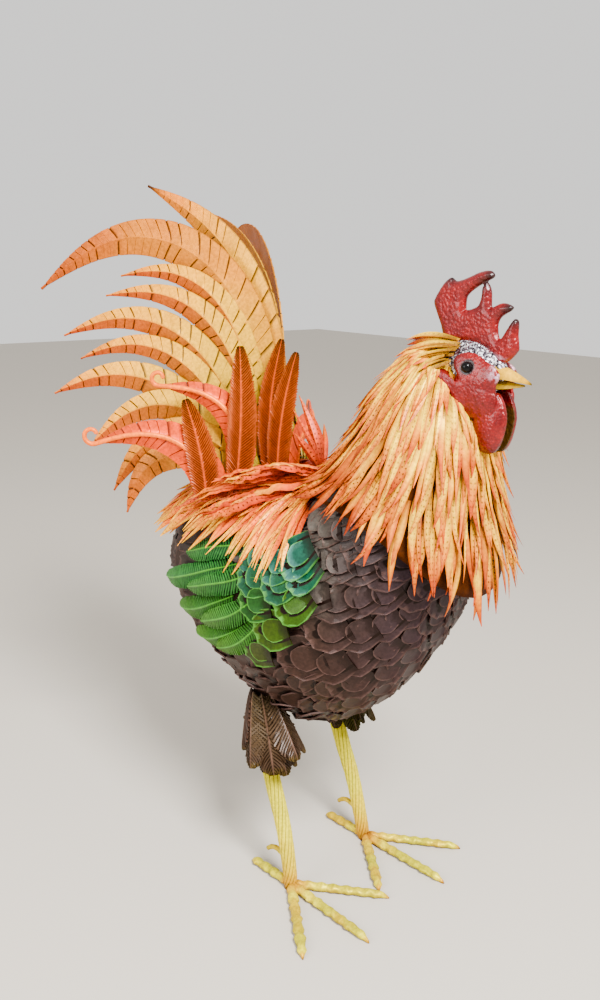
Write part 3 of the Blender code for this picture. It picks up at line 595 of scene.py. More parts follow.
sickleLook = {
    "pitch": 0.0190, "tight": 0.22, "slant": 0.62, "lowSlant": 0.60, "fold": 0.0085, "notch": 0.07,
    "bead": 0.0003, "beadWide": 0.05, "ribGap": 0.04, "thick": 0.0022, "uneven": 0.30, "arch": 1.0,
    "marks": ((0.00, -0.0012, 1.0), (0.055, -0.0010, 1.0), (0.10, 0.0, 0.0), (0.55, 0.0002, 0.0),
              (0.95, 0.0010, 0.0)),
    "columns": (-1.0, -0.94, -0.7, -0.4, -0.14, -0.04, 0.0, 0.04, 0.14, 0.4, 0.7, 0.94, 1.0),
}
ribLook = {
    "pitch": 0.0047, "slant": 0.95, "fold": 0.0060, "notch": 0.24, "bead": 0.0016, "beadWide": 0.09,
    "ribGap": 0.06, "thick": 0.0024, "uneven": 0.15, "ragged": 0.10, "arch": 1.3,
    "marks": ((0.00, -0.0013, 1.0), (0.16, -0.0010, 0.9), (0.36, 0.0, 0.0), (0.80, 0.0005, 0.0)),
    "columns": (-1.0, -0.92, -0.65, -0.35, -0.14, -0.04, 0.0, 0.04, 0.14, 0.35, 0.65, 0.92, 1.0),
}
for side, word in ((-1.0, "_right"), (1.0, "_left")):
    for number, row in enumerate(tail["sickles"]):
        name, rootX, splay, launch, bend, power, length, width = row
        if name == "tail_top" and side > 0.0:
            bend, length = tail["leftTop"]
        line, rolled, outward = planeLine(side, rootX, splay, launch, bend, power, length, (0.0, 0.0))
        look = dict(sickleLook, width=width, flip=side)
        tint = {"tail_top": 1.0, "tail_sickle": 0.5, "tail_cover_7": 0.35, "tail_cover_8": 0.5}.get(name, 0.0)
        sheet = vane(line, look, sickleWidth, tint, number)
        piece = makePiece(name + word + "_sheet", *sheet, sharp=38)
        handIn(piece, "sickle_paint", looks["sickle"], name + word)
    for number, row in enumerate(tail["curls"][side]):
        name, rootX, splay, launch, bend, length, roll, width, base = row
        line, rolled, outward = planeLine(side, rootX, splay, launch, bend, 0.9, length, base, roll)
        look = dict(sickleLook, width=width * 1.1, bead=0.0030, beadWide=0.10, pitch=0.0150, fold=0.0060)
        sheets = Sheets()
        sheets.add(*vane(line, look, curlWidth, 0.0, number))
        raised = np.linspace(0.35, 1.0, 40) * line["reach"][-1]
        bar = [Vector(p) for p in readAt(line, "centre", raised)]
        bar += [Vector(p) for p in rolled]
        count = len(bar)
        radii = [0.0046 - 0.0012 * k / count for k in range(count)]
        sheets.add(*tube(bar, radii, 10, 0.0, (0.35, 1.0)))
        piece = sheets.piece(name + word + "_sheet", sharp=38)
        handIn(piece, "sickle_paint", looks["curl"], name + word)
for number, row in enumerate(tail["leaves"]):
    name, rootX, splay, launch, bend, length, width, base = row
    line, rolled, outward = planeLine(-1.0, rootX, splay, launch, bend, 1.0, length, base)
    piece = makePiece(name + "_sheet", *vane(line, dict(ribLook, width=width), leafWidth, 0.0, number),
                      sharp=38)
    handIn(piece, "leaf_paint", looks["leaf"], name)
print("tail made")


# ---------- body, cape and saddle layout ----------
# belly (y, z), back (y, z) and half width, from the rump to the neck's foot
bodyTable = (
    (0.398, 0.470, 0.402, 0.510, 0.020),
    (0.325, 0.405, 0.370, 0.585, 0.080),
    (0.225, 0.335, 0.300, 0.645, 0.122),
    (0.110, 0.292, 0.190, 0.685, 0.148),
    (0.005, 0.288, 0.090, 0.690, 0.160),
    (-0.085, 0.345, 0.020, 0.690, 0.162),
    (-0.155, 0.430, -0.020, 0.710, 0.152),
    (-0.210, 0.520, -0.045, 0.750, 0.134),
    (-0.235, 0.600, -0.065, 0.785, 0.110),
    (-0.225, 0.680, -0.090, 0.800, 0.075),
)
# front (y, z), back (y, z) and half width, from the head to the hem
capeTable = (
    (-0.222, 0.893, -0.138, 0.920, 0.036),
    (-0.252, 0.830, -0.092, 0.866, 0.070),
    (-0.262, 0.760, -0.062, 0.802, 0.096),
    (-0.272, 0.690, -0.024, 0.745, 0.121),
    (-0.284, 0.615, 0.012, 0.712, 0.150),
    (-0.284, 0.545, 0.040, 0.695, 0.172),
)


def lathedSkin(name, table, first, last, rows, columns, lift, sideRise=0.0):
    # a closed plain form under the feathers
    verts = []
    faces = []
    for j in range(rows + 1):
        for i in range(columns):
            angle = turn * i / columns
            t = blend(first, last, j / rows)
            if first < last:
                t *= 1.0 - sideRise * math.sin(angle) ** 2 * (j / rows)
            verts.append(skin(table, t, angle, lift))
    for j in range(rows):
        for i in range(columns):
            a = j * columns + i
            b = j * columns + (i + 1) % columns
            faces.append((a, b, b + columns, a + columns))
    for j in (0, rows):
        verts.append(sum(verts[j * columns:(j + 1) * columns], Vector()) / columns)
        end = len(verts) - 1
        for i in range(columns):
            faces.append((j * columns + i, j * columns + (i + 1) % columns, end))
    return makePiece(name, verts, faces, {"along": [0.5] * len(verts), "tint": [0.5] * len(verts)})


def surfaceFrame(place, u, v, lift, step=0.01):
    # the point, the way the feathers run and the outward direction there
    p = place(u, v, lift)
    ahead = (place(u + step, v, lift) - place(u - step, v, lift)).normalized()
    sideways = (place(u, v + step, lift) - place(u, v - step, lift)).normalized()
    out = (place(u, v, lift + 0.01) - p)
    out = (out - ahead * out.dot(ahead)).normalized()
    return p, ahead, sideways, out


# ---------- geometry nodes for strands and scales ----------
def strandTree():
    # sweeps a folded strip along each path, turned a little by chance
    tree = bpy.data.node_groups.new("featherStrands", "GeometryNodeTree")
    face = tree.interface
    face.new_socket("Geometry", in_out="INPUT", socket_type="NodeSocketGeometry")
    face.new_socket("Section", in_out="INPUT", socket_type="NodeSocketObject")
    face.new_socket("Paint", in_out="INPUT", socket_type="NodeSocketMaterial")
    face.new_socket("Width", in_out="INPUT", socket_type="NodeSocketFloat").default_value = 0.006
    face.new_socket("Twist", in_out="INPUT", socket_type="NodeSocketFloat").default_value = 0.3
    face.new_socket("Seed", in_out="INPUT", socket_type="NodeSocketInt").default_value = 4
    face.new_socket("Geometry", in_out="OUTPUT", socket_type="NodeSocketGeometry")
    start = add(tree, "NodeGroupInput").outputs
    out = add(tree, "GeometryNodeInputNamedAttribute", {"data_type": "FLOAT_VECTOR"}, Name="faceOut")
    size = add(tree, "GeometryNodeInputNamedAttribute", {"data_type": "FLOAT"}, Name="size")
    which = add(tree, "GeometryNodeInputNamedAttribute", {"data_type": "FLOAT"}, Name="which")
    curve = add(tree, "GeometryNodeMeshToCurve", None, Mesh=start["Geometry"]).outputs[0]
    curve = add(tree, "GeometryNodeSetCurveNormal", {"mode": "FREE"}, Curve=curve,
                Normal=out.outputs[0]).outputs[0]
    low = add(tree, "ShaderNodeMath", {"operation": "MULTIPLY"}, i0=start["Twist"], i1=-1.0).outputs[0]
    chance = add(tree, "FunctionNodeRandomValue", {"data_type": "FLOAT"}, Seed=start["Seed"])
    for index, value in ((2, low), (3, start["Twist"]), (7, which.outputs[0])):
        tree.links.new(value, chance.inputs[index])
    curve = add(tree, "GeometryNodeSetCurveTilt", None, Curve=curve, Tilt=chance.outputs[1]).outputs[0]
    section = add(tree, "GeometryNodeObjectInfo", None, Object=start["Section"]).outputs["Geometry"]
    section = add(tree, "GeometryNodeMeshToCurve", None, Mesh=section).outputs[0]
    wide = add(tree, "ShaderNodeMath", {"operation": "MULTIPLY"}, i0=size.outputs[0], i1=start["Width"])
    mesh = add(tree, "GeometryNodeCurveToMesh", None, Curve=curve, Profile_Curve=section,
               Scale=wide.outputs[0], Fill_Caps=True).outputs[0]
    mesh = add(tree, "GeometryNodeRealizeInstances", None, Geometry=mesh).outputs[0]
    mesh = add(tree, "GeometryNodeSetMaterial", None, Geometry=mesh, Material=start["Paint"]).outputs[0]
    end = add(tree, "NodeGroupOutput")
    tree.links.new(mesh, end.inputs[0])
    return tree


def scaleTree():
    # lays one pressed scale on every point, facing out and turned along the rows
    tree = bpy.data.node_groups.new("scaleRows", "GeometryNodeTree")
    face = tree.interface
    face.new_socket("Geometry", in_out="INPUT", socket_type="NodeSocketGeometry")
    face.new_socket("Scale Shape", in_out="INPUT", socket_type="NodeSocketObject")
    face.new_socket("Paint", in_out="INPUT", socket_type="NodeSocketMaterial")
    face.new_socket("Size", in_out="INPUT", socket_type="NodeSocketFloat").default_value = 0.05
    face.new_socket("Loose", in_out="INPUT", socket_type="NodeSocketFloat").default_value = 0.1
    face.new_socket("Seed", in_out="INPUT", socket_type="NodeSocketInt").default_value = 7
    face.new_socket("Geometry", in_out="OUTPUT", socket_type="NodeSocketGeometry")
    start = add(tree, "NodeGroupInput").outputs
    out = add(tree, "GeometryNodeInputNamedAttribute", {"data_type": "FLOAT_VECTOR"}, Name="faceOut")
    ahead = add(tree, "GeometryNodeInputNamedAttribute", {"data_type": "FLOAT_VECTOR"}, Name="ahead")
    size = add(tree, "GeometryNodeInputNamedAttribute", {"data_type": "FLOAT"}, Name="size")
    turned = add(tree, "FunctionNodeAxesToRotation", {"primary_axis": "Z", "secondary_axis": "Y"})
    tree.links.new(out.outputs[0], turned.inputs[0])
    tree.links.new(ahead.outputs[0], turned.inputs[1])
    low = add(tree, "ShaderNodeMath", {"operation": "MULTIPLY"}, i0=start["Loose"], i1=-1.0).outputs[0]
    chance = add(tree, "FunctionNodeRandomValue", {"data_type": "FLOAT_VECTOR"}, Seed=start["Seed"])
    tree.links.new(low, chance.inputs[0])
    tree.links.new(start["Loose"], chance.inputs[1])
    loose = add(tree, "FunctionNodeEulerToRotation", None, Euler=chance.outputs[0]).outputs[0]
    both = add(tree, "FunctionNodeRotateRotation", {"rotation_space": "LOCAL"}, Rotation=turned.outputs[0],
               Rotate_By=loose).outputs[0]
    shape = add(tree, "GeometryNodeObjectInfo", None, Object=start["Scale Shape"]).outputs["Geometry"]
    wide = add(tree, "ShaderNodeMath", {"operation": "MULTIPLY"}, i0=size.outputs[0], i1=start["Size"])
    mesh = add(tree, "GeometryNodeInstanceOnPoints", None, Points=start["Geometry"], Instance=shape,
               Rotation=both, Scale=wide.outputs[0]).outputs[0]
    mesh = add(tree, "GeometryNodeRealizeInstances", None, Geometry=mesh).outputs[0]
    mesh = add(tree, "GeometryNodeSetMaterial", None, Geometry=mesh, Material=start["Paint"]).outputs[0]
    end = add(tree, "NodeGroupOutput")
    tree.links.new(mesh, end.inputs[0])
    return tree


strands = strandTree()
scales = scaleTree()


def growMesh(name, verts, edges, values, vectors, tree, inputs):
    # runs the node tree over the points or paths and keeps its mesh
    mesh = bpy.data.meshes.new(name)
    mesh.from_pydata([tuple(v) for v in verts], edges, [])
    for key, data in values.items():
        mesh.attributes.new(key, "FLOAT", "POINT").data.foreach_set("value", data)
    for key, data in vectors.items():
        layer = mesh.attributes.new(key, "FLOAT_VECTOR", "POINT")
        layer.data.foreach_set("vector", [c for v in data for c in v])
    piece = bpy.data.objects.new(name, mesh)
    bpy.context.scene.collection.objects.link(piece)
    change = piece.modifiers.new("grow", "NODES")
    change.node_group = tree
    sockets = {item.name: item.identifier for item in tree.interface.items_tree if item.in_out == "INPUT"}
    for key, value in inputs.items():
        change[sockets[key]] = value
    bpy.context.view_layer.update()
    done = piece.evaluated_get(bpy.context.evaluated_depsgraph_get())
    plain = bpy.data.meshes.new_from_object(done)
    piece.modifiers.clear()
    piece.data = plain
    finishMesh(piece, sharp=40)
    return piece


def sectionShape():
    # a folded strip seen end on: raised middle, thin edges
    mesh = bpy.data.meshes.new("stripSection")
    points = [(0.0, -1.0, 0.0), (0.32, -0.45, 0.0), (0.56, 0.0, 0.0), (0.32, 0.45, 0.0), (0.0, 1.0, 0.0),
              (0.16, 0.0, 0.0)]
    mesh.from_pydata(points, [(k, (k + 1) % len(points)) for k in range(len(points))], [])
    layer = mesh.attributes.new("across", "FLOAT", "POINT")
    layer.data.foreach_set("value", [-1.0, -0.45, 0.0, 0.45, 1.0, 0.0])
    return bpy.data.objects.new("stripSection", mesh)


def scaleShape():
    # a pressed scale of unit width with short flutes at its rounded tip, and a smooth tongue raised on it
    verts, faces, along, sides, level = [], [], [], [], []

    def tongue(across, rows, wide, back, front, high, flute, part):
        base = len(verts)
        count = len(across)
        size = count * len(rows)
        for under in (0.0, 0.035):
            for f in rows:
                for i, x in enumerate(across):
                    edge = math.sqrt(max(0.0, 1.0 - x * x))
                    y = back + f * (front - back) * (0.60 + 0.40 * edge)
                    ridge = flute * (-1.0) ** i * max(0.0, f - 0.35) / 0.65
                    rise = high * f + 0.09 * wide * (1.0 - x * x) * (1.0 - 0.6 * f) + ridge
                    verts.append((wide * x * blend(0.75, 1.0, min(1.0, f * 1.6)), y, rise - under))
                    along.append(f)
                    sides.append(x)
                    level.append(part)
        for j in range(len(rows) - 1):
            for i in range(count - 1):
                a = base + j * count + i
                faces.append((a, a + 1, a + 1 + count, a + count))
        rim = list(range(count)) + [count * j + count - 1 for j in range(1, len(rows))]
        rim += list(range(size - 2, size - count - 1, -1)) + [count * j for j in range(len(rows) - 2, 0, -1)]
        rim = [base + k for k in rim]
        for k in range(len(rim)):
            a, b = rim[k], rim[(k + 1) % len(rim)]
            faces.append((b, a, a + size, b + size))
        faces.append(tuple(k + size for k in rim))

    tongue((-1.0, -0.80, -0.55, -0.28, 0.0, 0.28, 0.55, 0.80, 1.0), (0.0, 0.60, 0.86, 1.0),
           0.53, -0.62, 0.50, 0.09, 0.036, 0.0)
    tongue((-1.0, -0.75, -0.4, 0.0, 0.4, 0.75, 1.0), (0.0, 0.72, 1.0), 0.29, -0.55, 0.13, 0.150, 0.0, 1.0)
    return makePiece("pressedScale", verts, faces, {"along": along, "across": sides, "level": level})


section = sectionShape()
bpy.context.scene.collection.objects.link(section)
pressed = scaleShape()


def stripPaint(stops, tipStops, dots):
    def build(tree):
        along = attribute(tree, "along")
        across = calc(tree, "ABSOLUTE", attribute(tree, "across"))
        heat = attribute(tree, "warmth")
        tint = attribute(tree, "tint")
        place = calc(tree, "ADD", along, calc(tree, "MULTIPLY", calc(tree, "SUBTRACT", tint, 0.5), 0.40))
        colour = mixColour(tree, heat, ramp(tree, place, stops), ramp(tree, place, tipStops))
        # painted shade towards the strip's edges, where its rounded section turns away from the light
        edge = ranged(tree, across, 0.35, 1.0, 0.0, 0.9)
        colour = mixColour(tree, edge, colour, mixColour(tree, 1.0, colour, (0.62, 0.34, 0.22, 1.0), "MULTIPLY"))
        # painted shade at the strip's root, under the strips that overlap it
        rootShade = ranged(tree, along, 0.0, 0.35, 0.55, 0.0)
        colour = mixColour(tree, rootShade, colour, mixColour(tree, 1.0, colour, (0.55, 0.30, 0.18, 1.0), "MULTIPLY"))
        # two rows of punched dots
        run = calc(tree, "DIVIDE", attribute(tree, "run"), 0.0085)
        near = calc(tree, "ABSOLUTE", calc(tree, "SUBTRACT", calc(tree, "FRACT", run), 0.5))
        off = calc(tree, "ABSOLUTE", calc(tree, "SUBTRACT", across, 0.40))
        dot = calc(tree, "ADD", calc(tree, "MULTIPLY", near, 3.0), calc(tree, "MULTIPLY", off, 3.0))
        dot = ranged(tree, dot, 0.50, 0.75, 1.0, 0.0)
        dot = calc(tree, "MULTIPLY", dot, ranged(tree, attribute(tree, "punched"), 0.4, 0.6))
        dot = calc(tree, "MULTIPLY", dot, ranged(tree, heat, 0.0, 0.6, 0.5, 1.0))
        return {"colour": colour, "grime": 0.25, "rub": 0.25, "rough": 0.34,
                "slit": calc(tree, "MULTIPLY", dot, dots), "height": calc(tree, "MULTIPLY", dot, -1.0)}
    return build


looks["cape"] = newMaterial("hackle_paint", stripPaint(
    [(0.00, tone(206, 180, 10)), (0.28, tone(238, 222, 20)), (0.55, tone(246, 232, 100)),
     (0.78, tone(238, 200, 50)), (1.00, tone(222, 134, 20))],
    [(0.00, tone(196, 96, 20)), (0.30, tone(222, 156, 44)), (0.58, tone(226, 160, 36)),
     (0.82, tone(210, 118, 20)), (1.00, tone(180, 80, 14))], 0.8), 0.15, 0.06)
looks["saddle"] = newMaterial("saddle_paint", stripPaint(
    [(0.00, tone(214, 120, 80)), (0.30, tone(236, 150, 90)), (0.60, tone(244, 186, 110)),
     (0.82, tone(248, 224, 124)), (1.00, tone(246, 226, 130))],
    [(0.00, tone(196, 92, 70)), (0.35, tone(222, 120, 80)), (0.65, tone(230, 134, 80)),
     (0.85, tone(230, 156, 64)), (1.00, tone(228, 170, 70))], 0.75), 0.15, 0.06)


def shadeUnderPaint(colour):
    # dark layer under the feathers: its colour and heavy grime are painted shade, seen in the gaps
    def build(tree):
        return {"colour": colour, "grime": 0.7, "rub": 0.1, "rough": 0.6}
    return build


# painted shade under the hackle strips
looks["capeUnder"] = newMaterial("hackle_under", shadeUnderPaint(tone(116, 62, 20)), 0.2)


# ---------- cape ----------
cape = {
    "rows": (  # where the tips end, strips in the row, length in sections
        (0.05, 20, 0.80), (0.35, 26, 1.00), (0.75, 30, 1.10), (1.10, 33, 1.10), (1.50, 38, 1.25),
        (1.90, 42, 1.40), (2.30, 46, 1.50), (2.70, 48, 1.55), (3.10, 50, 1.55), (3.50, 52, 1.50),
        (3.90, 54, 1.45), (4.30, 54, 1.40), (4.68, 54, 1.35)),
    "sideRise": 0.22, "steps": 12, "lift": 0.002, "loose": 0.008, "flare": 0.016, "width": 0.0062,
    "twist": 0.55,
    # strips laid from the back of the head over the nape: start, bend and tip
    "crest": (
        ((0.008, -0.216, 0.936), (0.008, -0.168, 0.945), (0.006, -0.122, 0.928)),
        ((0.018, -0.218, 0.932), (0.022, -0.165, 0.937), (0.024, -0.112, 0.906)),
        ((0.027, -0.218, 0.925), (0.035, -0.170, 0.924), (0.042, -0.120, 0.880)),
        ((0.033, -0.216, 0.915), (0.043, -0.176, 0.905), (0.053, -0.134, 0.850))),
}


def addStrip(verts, edges, outs, values, path, number, heat, rng):
    traits = {"which": float(number), "tint": rng.random(), "warmth": min(1.0, max(0.0, heat)),
              "punched": 1.0 if rng.random() < 0.75 else 0.0}
    wide = rng.uniform(0.7, 1.25) * (1.4 if rng.random() < 0.12 else 1.0)
    run = 0.0
    for k, (p, away) in enumerate(path):
        f = k / (len(path) - 1)
        if k:
            run += (p - path[k - 1][0]).length
            edges.append((len(verts) - 1, len(verts)))
        verts.append(p)
        outs.append(away)
        taper = min(1.0, 0.6 + 1.1 * f) * (1.0 - max(0.0, (f - 0.50) / 0.50) ** 1.9)
        for key, value in traits.items():
            values[key].append(value)
        values["along"].append(f)
        values["size"].append(wide * max(0.08, taper))
        values["run"].append(run)


def capeStrips():
    rng = random.Random(11)
    verts, edges = [], []
    values = {"along": [], "size": [], "which": [], "tint": [], "warmth": [], "run": [], "punched": []}
    outs = []
    number = 0
    for row, (end, count, length) in enumerate(cape["rows"]):
        low = min(1.0, end / 4.7)
        for i in range(count):
            angle = turn * (i + 0.5 * (row % 2) + rng.uniform(-0.35, 0.35)) / count
            nape = 0.5 + 0.5 * math.cos(angle)
            rise = cape["sideRise"] * math.sin(angle) ** 2 * (0.55 + 0.45 * nape)
            tip = (end + rng.uniform(-0.20, 0.20)) * (1.0 - rise)
            start = tip - length * rng.uniform(0.85, 1.1)
            start = max(start, 0.04 - 0.84 * max(0.0, math.cos(0.50 * min(angle, turn - angle))))
            drift = rng.uniform(-0.13, 0.13)
            loose = cape["loose"] * rng.random() * (0.35 + 0.65 * low)
            flare = cape["flare"] * rng.uniform(0.1, 1.2) * (0.5 + 0.5 * low)
            back = 1.0 / (1.0 + math.exp(-9.0 * (math.cos(angle) + 0.10)))
            heat = -0.06 + 0.75 * low ** 1.5 * rng.uniform(0.3, 1.2) + 0.55 * back * low + rng.uniform(-0.25, 0.25)
            if end < 1.0:
                heat = rng.uniform(-0.1, 0.25)
            wide = rng.uniform(0.75, 1.25) * (0.60 + 0.40 * min(1.0, max(0.0, end) / 2.2))
            traits = {"which": float(number), "tint": rng.random(), "warmth": min(1.0, max(0.0, heat)),
                      "punched": 1.0 if rng.random() < 0.65 else 0.0}
            run = 0.0
            last = None
            for k in range(cape["steps"]):
                f = k / (cape["steps"] - 1)
                t = blend(start, tip, f)
                a = angle + drift * f * f
                lift = cape["lift"] + loose * min(1.0, 3.0 * f) + 0.006 * f + flare * f ** 3
                p = capeSkin(t, a, lift)
                away = (capeSkin(t, a, lift + 0.01) - p).normalized()
                if last is not None:
                    run += (p - last).length
                    edges.append((len(verts) - 1, len(verts)))
                last = p
                verts.append(p)
                outs.append(away)
                taper = min(1.0, 0.55 + 1.2 * f) * (1.0 - max(0.0, (f - 0.50) / 0.50) ** 1.9)
                for key, value in traits.items():
                    values[key].append(value)
                values["along"].append(f)
                values["size"].append(wide * max(0.08, taper))
                values["run"].append(run)
            number += 1
    for row in cape["crest"] * 5:
        for side in (-1.0, 1.0):
            shift = Vector([rng.uniform(-0.005, 0.005) for k in range(3)])
            first, bend, last = [Vector((side * x, y, z)) + shift for x, y, z in row]
            away = Vector((side * (0.1 + 20.0 * abs(row[0][0])), 0.1, 0.9)).normalized()
            path = []
            for k in range(cape["steps"]):
                f = k / (cape["steps"] - 1)
                path.append(((1 - f) ** 2 * first + 2 * f * (1 - f) * bend + f * f * last, away))
            addStrip(verts, edges, outs, values, path, number, 0.0, rng)
            number += 1
    return verts, edges, values, {"faceOut": outs}


piece = growMesh("hackle_strips", *capeStrips(), strands, {
    "Section": section, "Paint": looks["cape"], "Width": cape["width"], "Twist": cape["twist"], "Seed": 4})
handIn(piece, "hackle_paint", looks["cape"], "neck_hackle")
under = lathedSkin("hackle_under", capeTable, 0.0, 4.5, 24, 48, -0.004, 0.20)
handIn(under, "hackle_paint", looks["capeUnder"], "neck_hackle")
print("cape made")


# ---------- saddle ----------
saddle = {
    "start": (6.10, 2.10), "tip": (5.75, 0.85), "startAngle": 1.5, "tipAngle": (72.0, -3.0, 17.0), "throw": 0.030,
    "rows": (  # where the tips end, strips in the row, length as a share
        (0.30, 28, 0.34), (0.42, 34, 0.44), (0.54, 38, 0.50), (0.66, 42, 0.52), (0.78, 44, 0.54), (0.90, 46, 0.54),
        (1.0, 44, 0.56)),
    "steps": 12, "lift": 0.007, "flare": 0.012, "width": 0.0068, "twist": 0.55,
    # the heap around the tail's foot: where a path starts, bends and ends (x, y, z), how many
    "heap": (
        ((0.030, 0.028, 0.700), (0.110, 0.062, 0.730), (0.156, 0.128, 0.686), 40),
        ((0.030, 0.022, 0.696), (0.116, 0.085, 0.712), (0.167, 0.194, 0.646), 46),
        ((0.040, 0.040, 0.692), (0.124, 0.118, 0.692), (0.166, 0.240, 0.612), 46),
        ((0.050, 0.020, 0.686), (0.130, 0.066, 0.690), (0.174, 0.166, 0.620), 52),
        ((0.012, -0.020, 0.704), (0.078, 0.006, 0.722), (0.124, 0.052, 0.726), 24)),
    # thin strips standing before the tail's foot
    "upright": ((0.004, 0.118, 0.822), (0.018, 0.104, 0.796), (-0.006, 0.096, 0.776), (0.032, 0.110, 0.786),
                (-0.016, 0.110, 0.800), (0.012, 0.086, 0.758), (0.044, 0.096, 0.772), (-0.028, 0.092, 0.764)),
}


def saddlePlace(side):
    def place(u, v, lift):
        startT = blend(*saddle["start"], v)
        tipT = blend(*saddle["tip"], v)
        first, swell, drop = saddle["tipAngle"]
        tipAngle = math.radians(first + swell * math.sin(math.pi * v) - drop * v ** 4)
        t = blend(startT, tipT, max(u, 0.0) ** 1.4)
        angle = side * blend(math.radians(saddle["startAngle"]), tipAngle, u)
        return skin(bodyTable, t, angle, lift) + Vector((0.0, saddle["throw"] * v * v * u * u, 0.0))
    return place


def saddleStrips(side):
    rng = random.Random(23 if side < 0 else 24)
    place = saddlePlace(side)
    verts, edges = [], []
    values = {"along": [], "size": [], "which": [], "tint": [], "warmth": [], "run": [], "punched": []}
    outs = []
    number = 0
    for row, (end, count, length) in enumerate(saddle["rows"]):
        for i in range(count):
            v = min(max((i + 0.5 * (row % 2) + rng.uniform(-0.4, 0.4)) / count, 0.0), 1.0)
            tip = end + rng.uniform(-0.08, 0.07)
            start = max(0.0, tip - length * rng.uniform(0.85, 1.1))
            drift = rng.uniform(-0.05, 0.05)
            loose = 0.007 * rng.random()
            flare = saddle["flare"] * rng.uniform(0.1, 1.2)
            path = []
            for k in range(saddle["steps"]):
                f = k / (saddle["steps"] - 1)
                at = min(max(v + drift * f * f, 0.0), 1.0)
                lift = saddle["lift"] + loose * min(1.0, 3.0 * f) + 0.016 * f * end + flare * f ** 3
                p, ahead, sideways, away = surfaceFrame(place, blend(start, tip, f), at, lift)
                path.append((p, away))
            heat = 1.22 - 1.25 * end + rng.uniform(-0.3, 0.3)
            addStrip(verts, edges, outs, values, path, number, heat, rng)
            number += 1
    for first, bend, last, count in saddle["heap"]:
        for i in range(count):
            row = [Vector((side * x, y, z)) for x, y, z in (first, bend, last)]
            slide = rng.uniform(-1.0, 1.0)
            for point, spread in zip(row, (0.012, 0.016, 0.024)):
                point += Vector((side * 0.25 * slide * spread + rng.uniform(-0.005, 0.005), slide * spread
                                 + rng.uniform(-0.008, 0.008), rng.uniform(-0.008, 0.008) - 0.3 * slide * spread))
            begin = rng.uniform(0.0, 0.45)
            path = []
            for k in range(saddle["steps"]):
                f = blend(begin, begin + 0.55, k / (saddle["steps"] - 1))
                p = (1 - f) ** 2 * row[0] + 2 * f * (1 - f) * row[1] + f * f * row[2]
                away = Vector((side * (0.3 + 0.5 * f), 0.1, 0.9)).normalized()
                path.append((p + away * 0.006 * rng.random(), away))
            addStrip(verts, edges, outs, values, path, number, rng.uniform(0.3, 1.3), rng)
            number += 1
    for x, y, z in saddle["upright"] if side > 0.0 else ():
        path = []
        for k in range(saddle["steps"]):
            f = k / (saddle["steps"] - 1)
            p = Vector((blend(0.006, x, f), blend(0.062, y, f ** 1.6), blend(0.700, z, f)))
            path.append((p, Vector((-0.72, -0.69, 0.1))))
        addStrip(verts, edges, outs, values, path, number, 1.0, rng)
        number += 1
    return verts, edges, values, {"faceOut": outs}


def sheetOver(name, place, rows, columns, high, low, uRange=(0.0, 1.0), vRange=(0.0, 1.0)):
    # a closed thin layer over the body
    verts = []
    faces = []
    for lift in (high, low):
        for j in range(rows + 1):
            for i in range(columns + 1):
                verts.append(place(blend(*uRange, j / rows), blend(*vRange, i / columns), lift))
    size = (rows + 1) * (columns + 1)
    wide = columns + 1
    for j in range(rows):
        for i in range(columns):
            a = j * wide + i
            faces.append((a, a + 1, a + 1 + wide, a + wide))
            faces.append((size + a, size + a + wide, size + a + wide + 1, size + a + 1))
    rim = [k for k in range(wide)] + [j * wide + columns for j in range(1, rows + 1)]
    rim += [rows * wide + k for k in range(columns - 1, -1, -1)] + [j * wide for j in range(rows - 1, 0, -1)]
    for k in range(len(rim)):
        a, b = rim[k], rim[(k + 1) % len(rim)]
        faces.append((b, a, a + size, b + size))
    return makePiece(name, verts, faces)


# painted shade under the saddle strips
looks["saddleUnder"] = newMaterial("saddle_under", shadeUnderPaint(tone(92, 40, 24)), 0.2)
for side, word in ((-1.0, "_right"), (1.0, "_left")):
    piece = growMesh("saddle_strips" + word, *saddleStrips(side), strands, {
        "Section": section, "Paint": looks["saddle"], "Width": saddle["width"], "Twist": saddle["twist"],
        "Seed": 9})
    handIn(piece, "saddle_paint", looks["saddle"], "saddle" + word)
    under = sheetOver("saddle_under" + word, saddlePlace(side), 14, 14, 0.006, -0.003, (0.0, 0.84), (0.0, 0.97))
    handIn(under, "saddle_paint", looks["saddleUnder"], "saddle" + word)
print("saddle made")


# ---------- body scales ----------
def scaleMarks(tree, colour, light, highlightShare):
    # a painted highlight on the rim, a painted shadow in the slot before the raised tongue, and painted shade at the
    # root where the row above covers it
    along = attribute(tree, "along")
    across = calc(tree, "ABSOLUTE", attribute(tree, "across"))
    tongue = attribute(tree, "level")
    # painted highlight along the rim
    edge = calc(tree, "MAXIMUM", ranged(tree, along, 0.93, 1.0), ranged(tree, across, 0.93, 1.0))
    colour = mixColour(tree, calc(tree, "MULTIPLY", edge, highlightShare), colour, light)
    x = calc(tree, "DIVIDE", across, 0.62)
    y = calc(tree, "DIVIDE", calc(tree, "SUBTRACT", along, 0.24), 0.50)
    round = calc(tree, "SQRT", calc(tree, "ADD", calc(tree, "MULTIPLY", x, x), calc(tree, "MULTIPLY", y, y)))
    # painted shadow under the raised tongue's tip
    slot = ranged(tree, calc(tree, "ABSOLUTE", calc(tree, "SUBTRACT", round, 1.03)), 0.12, 0.20, 1.0, 0.0)
    slot = calc(tree, "MULTIPLY", slot, calc(tree, "SUBTRACT", 1.0, tongue))
    # painted shade at the root, under the row above
    root = ranged(tree, along, 0.05, 0.40, 0.75, 0.0)
    return colour, calc(tree, "MAXIMUM", root, slot)


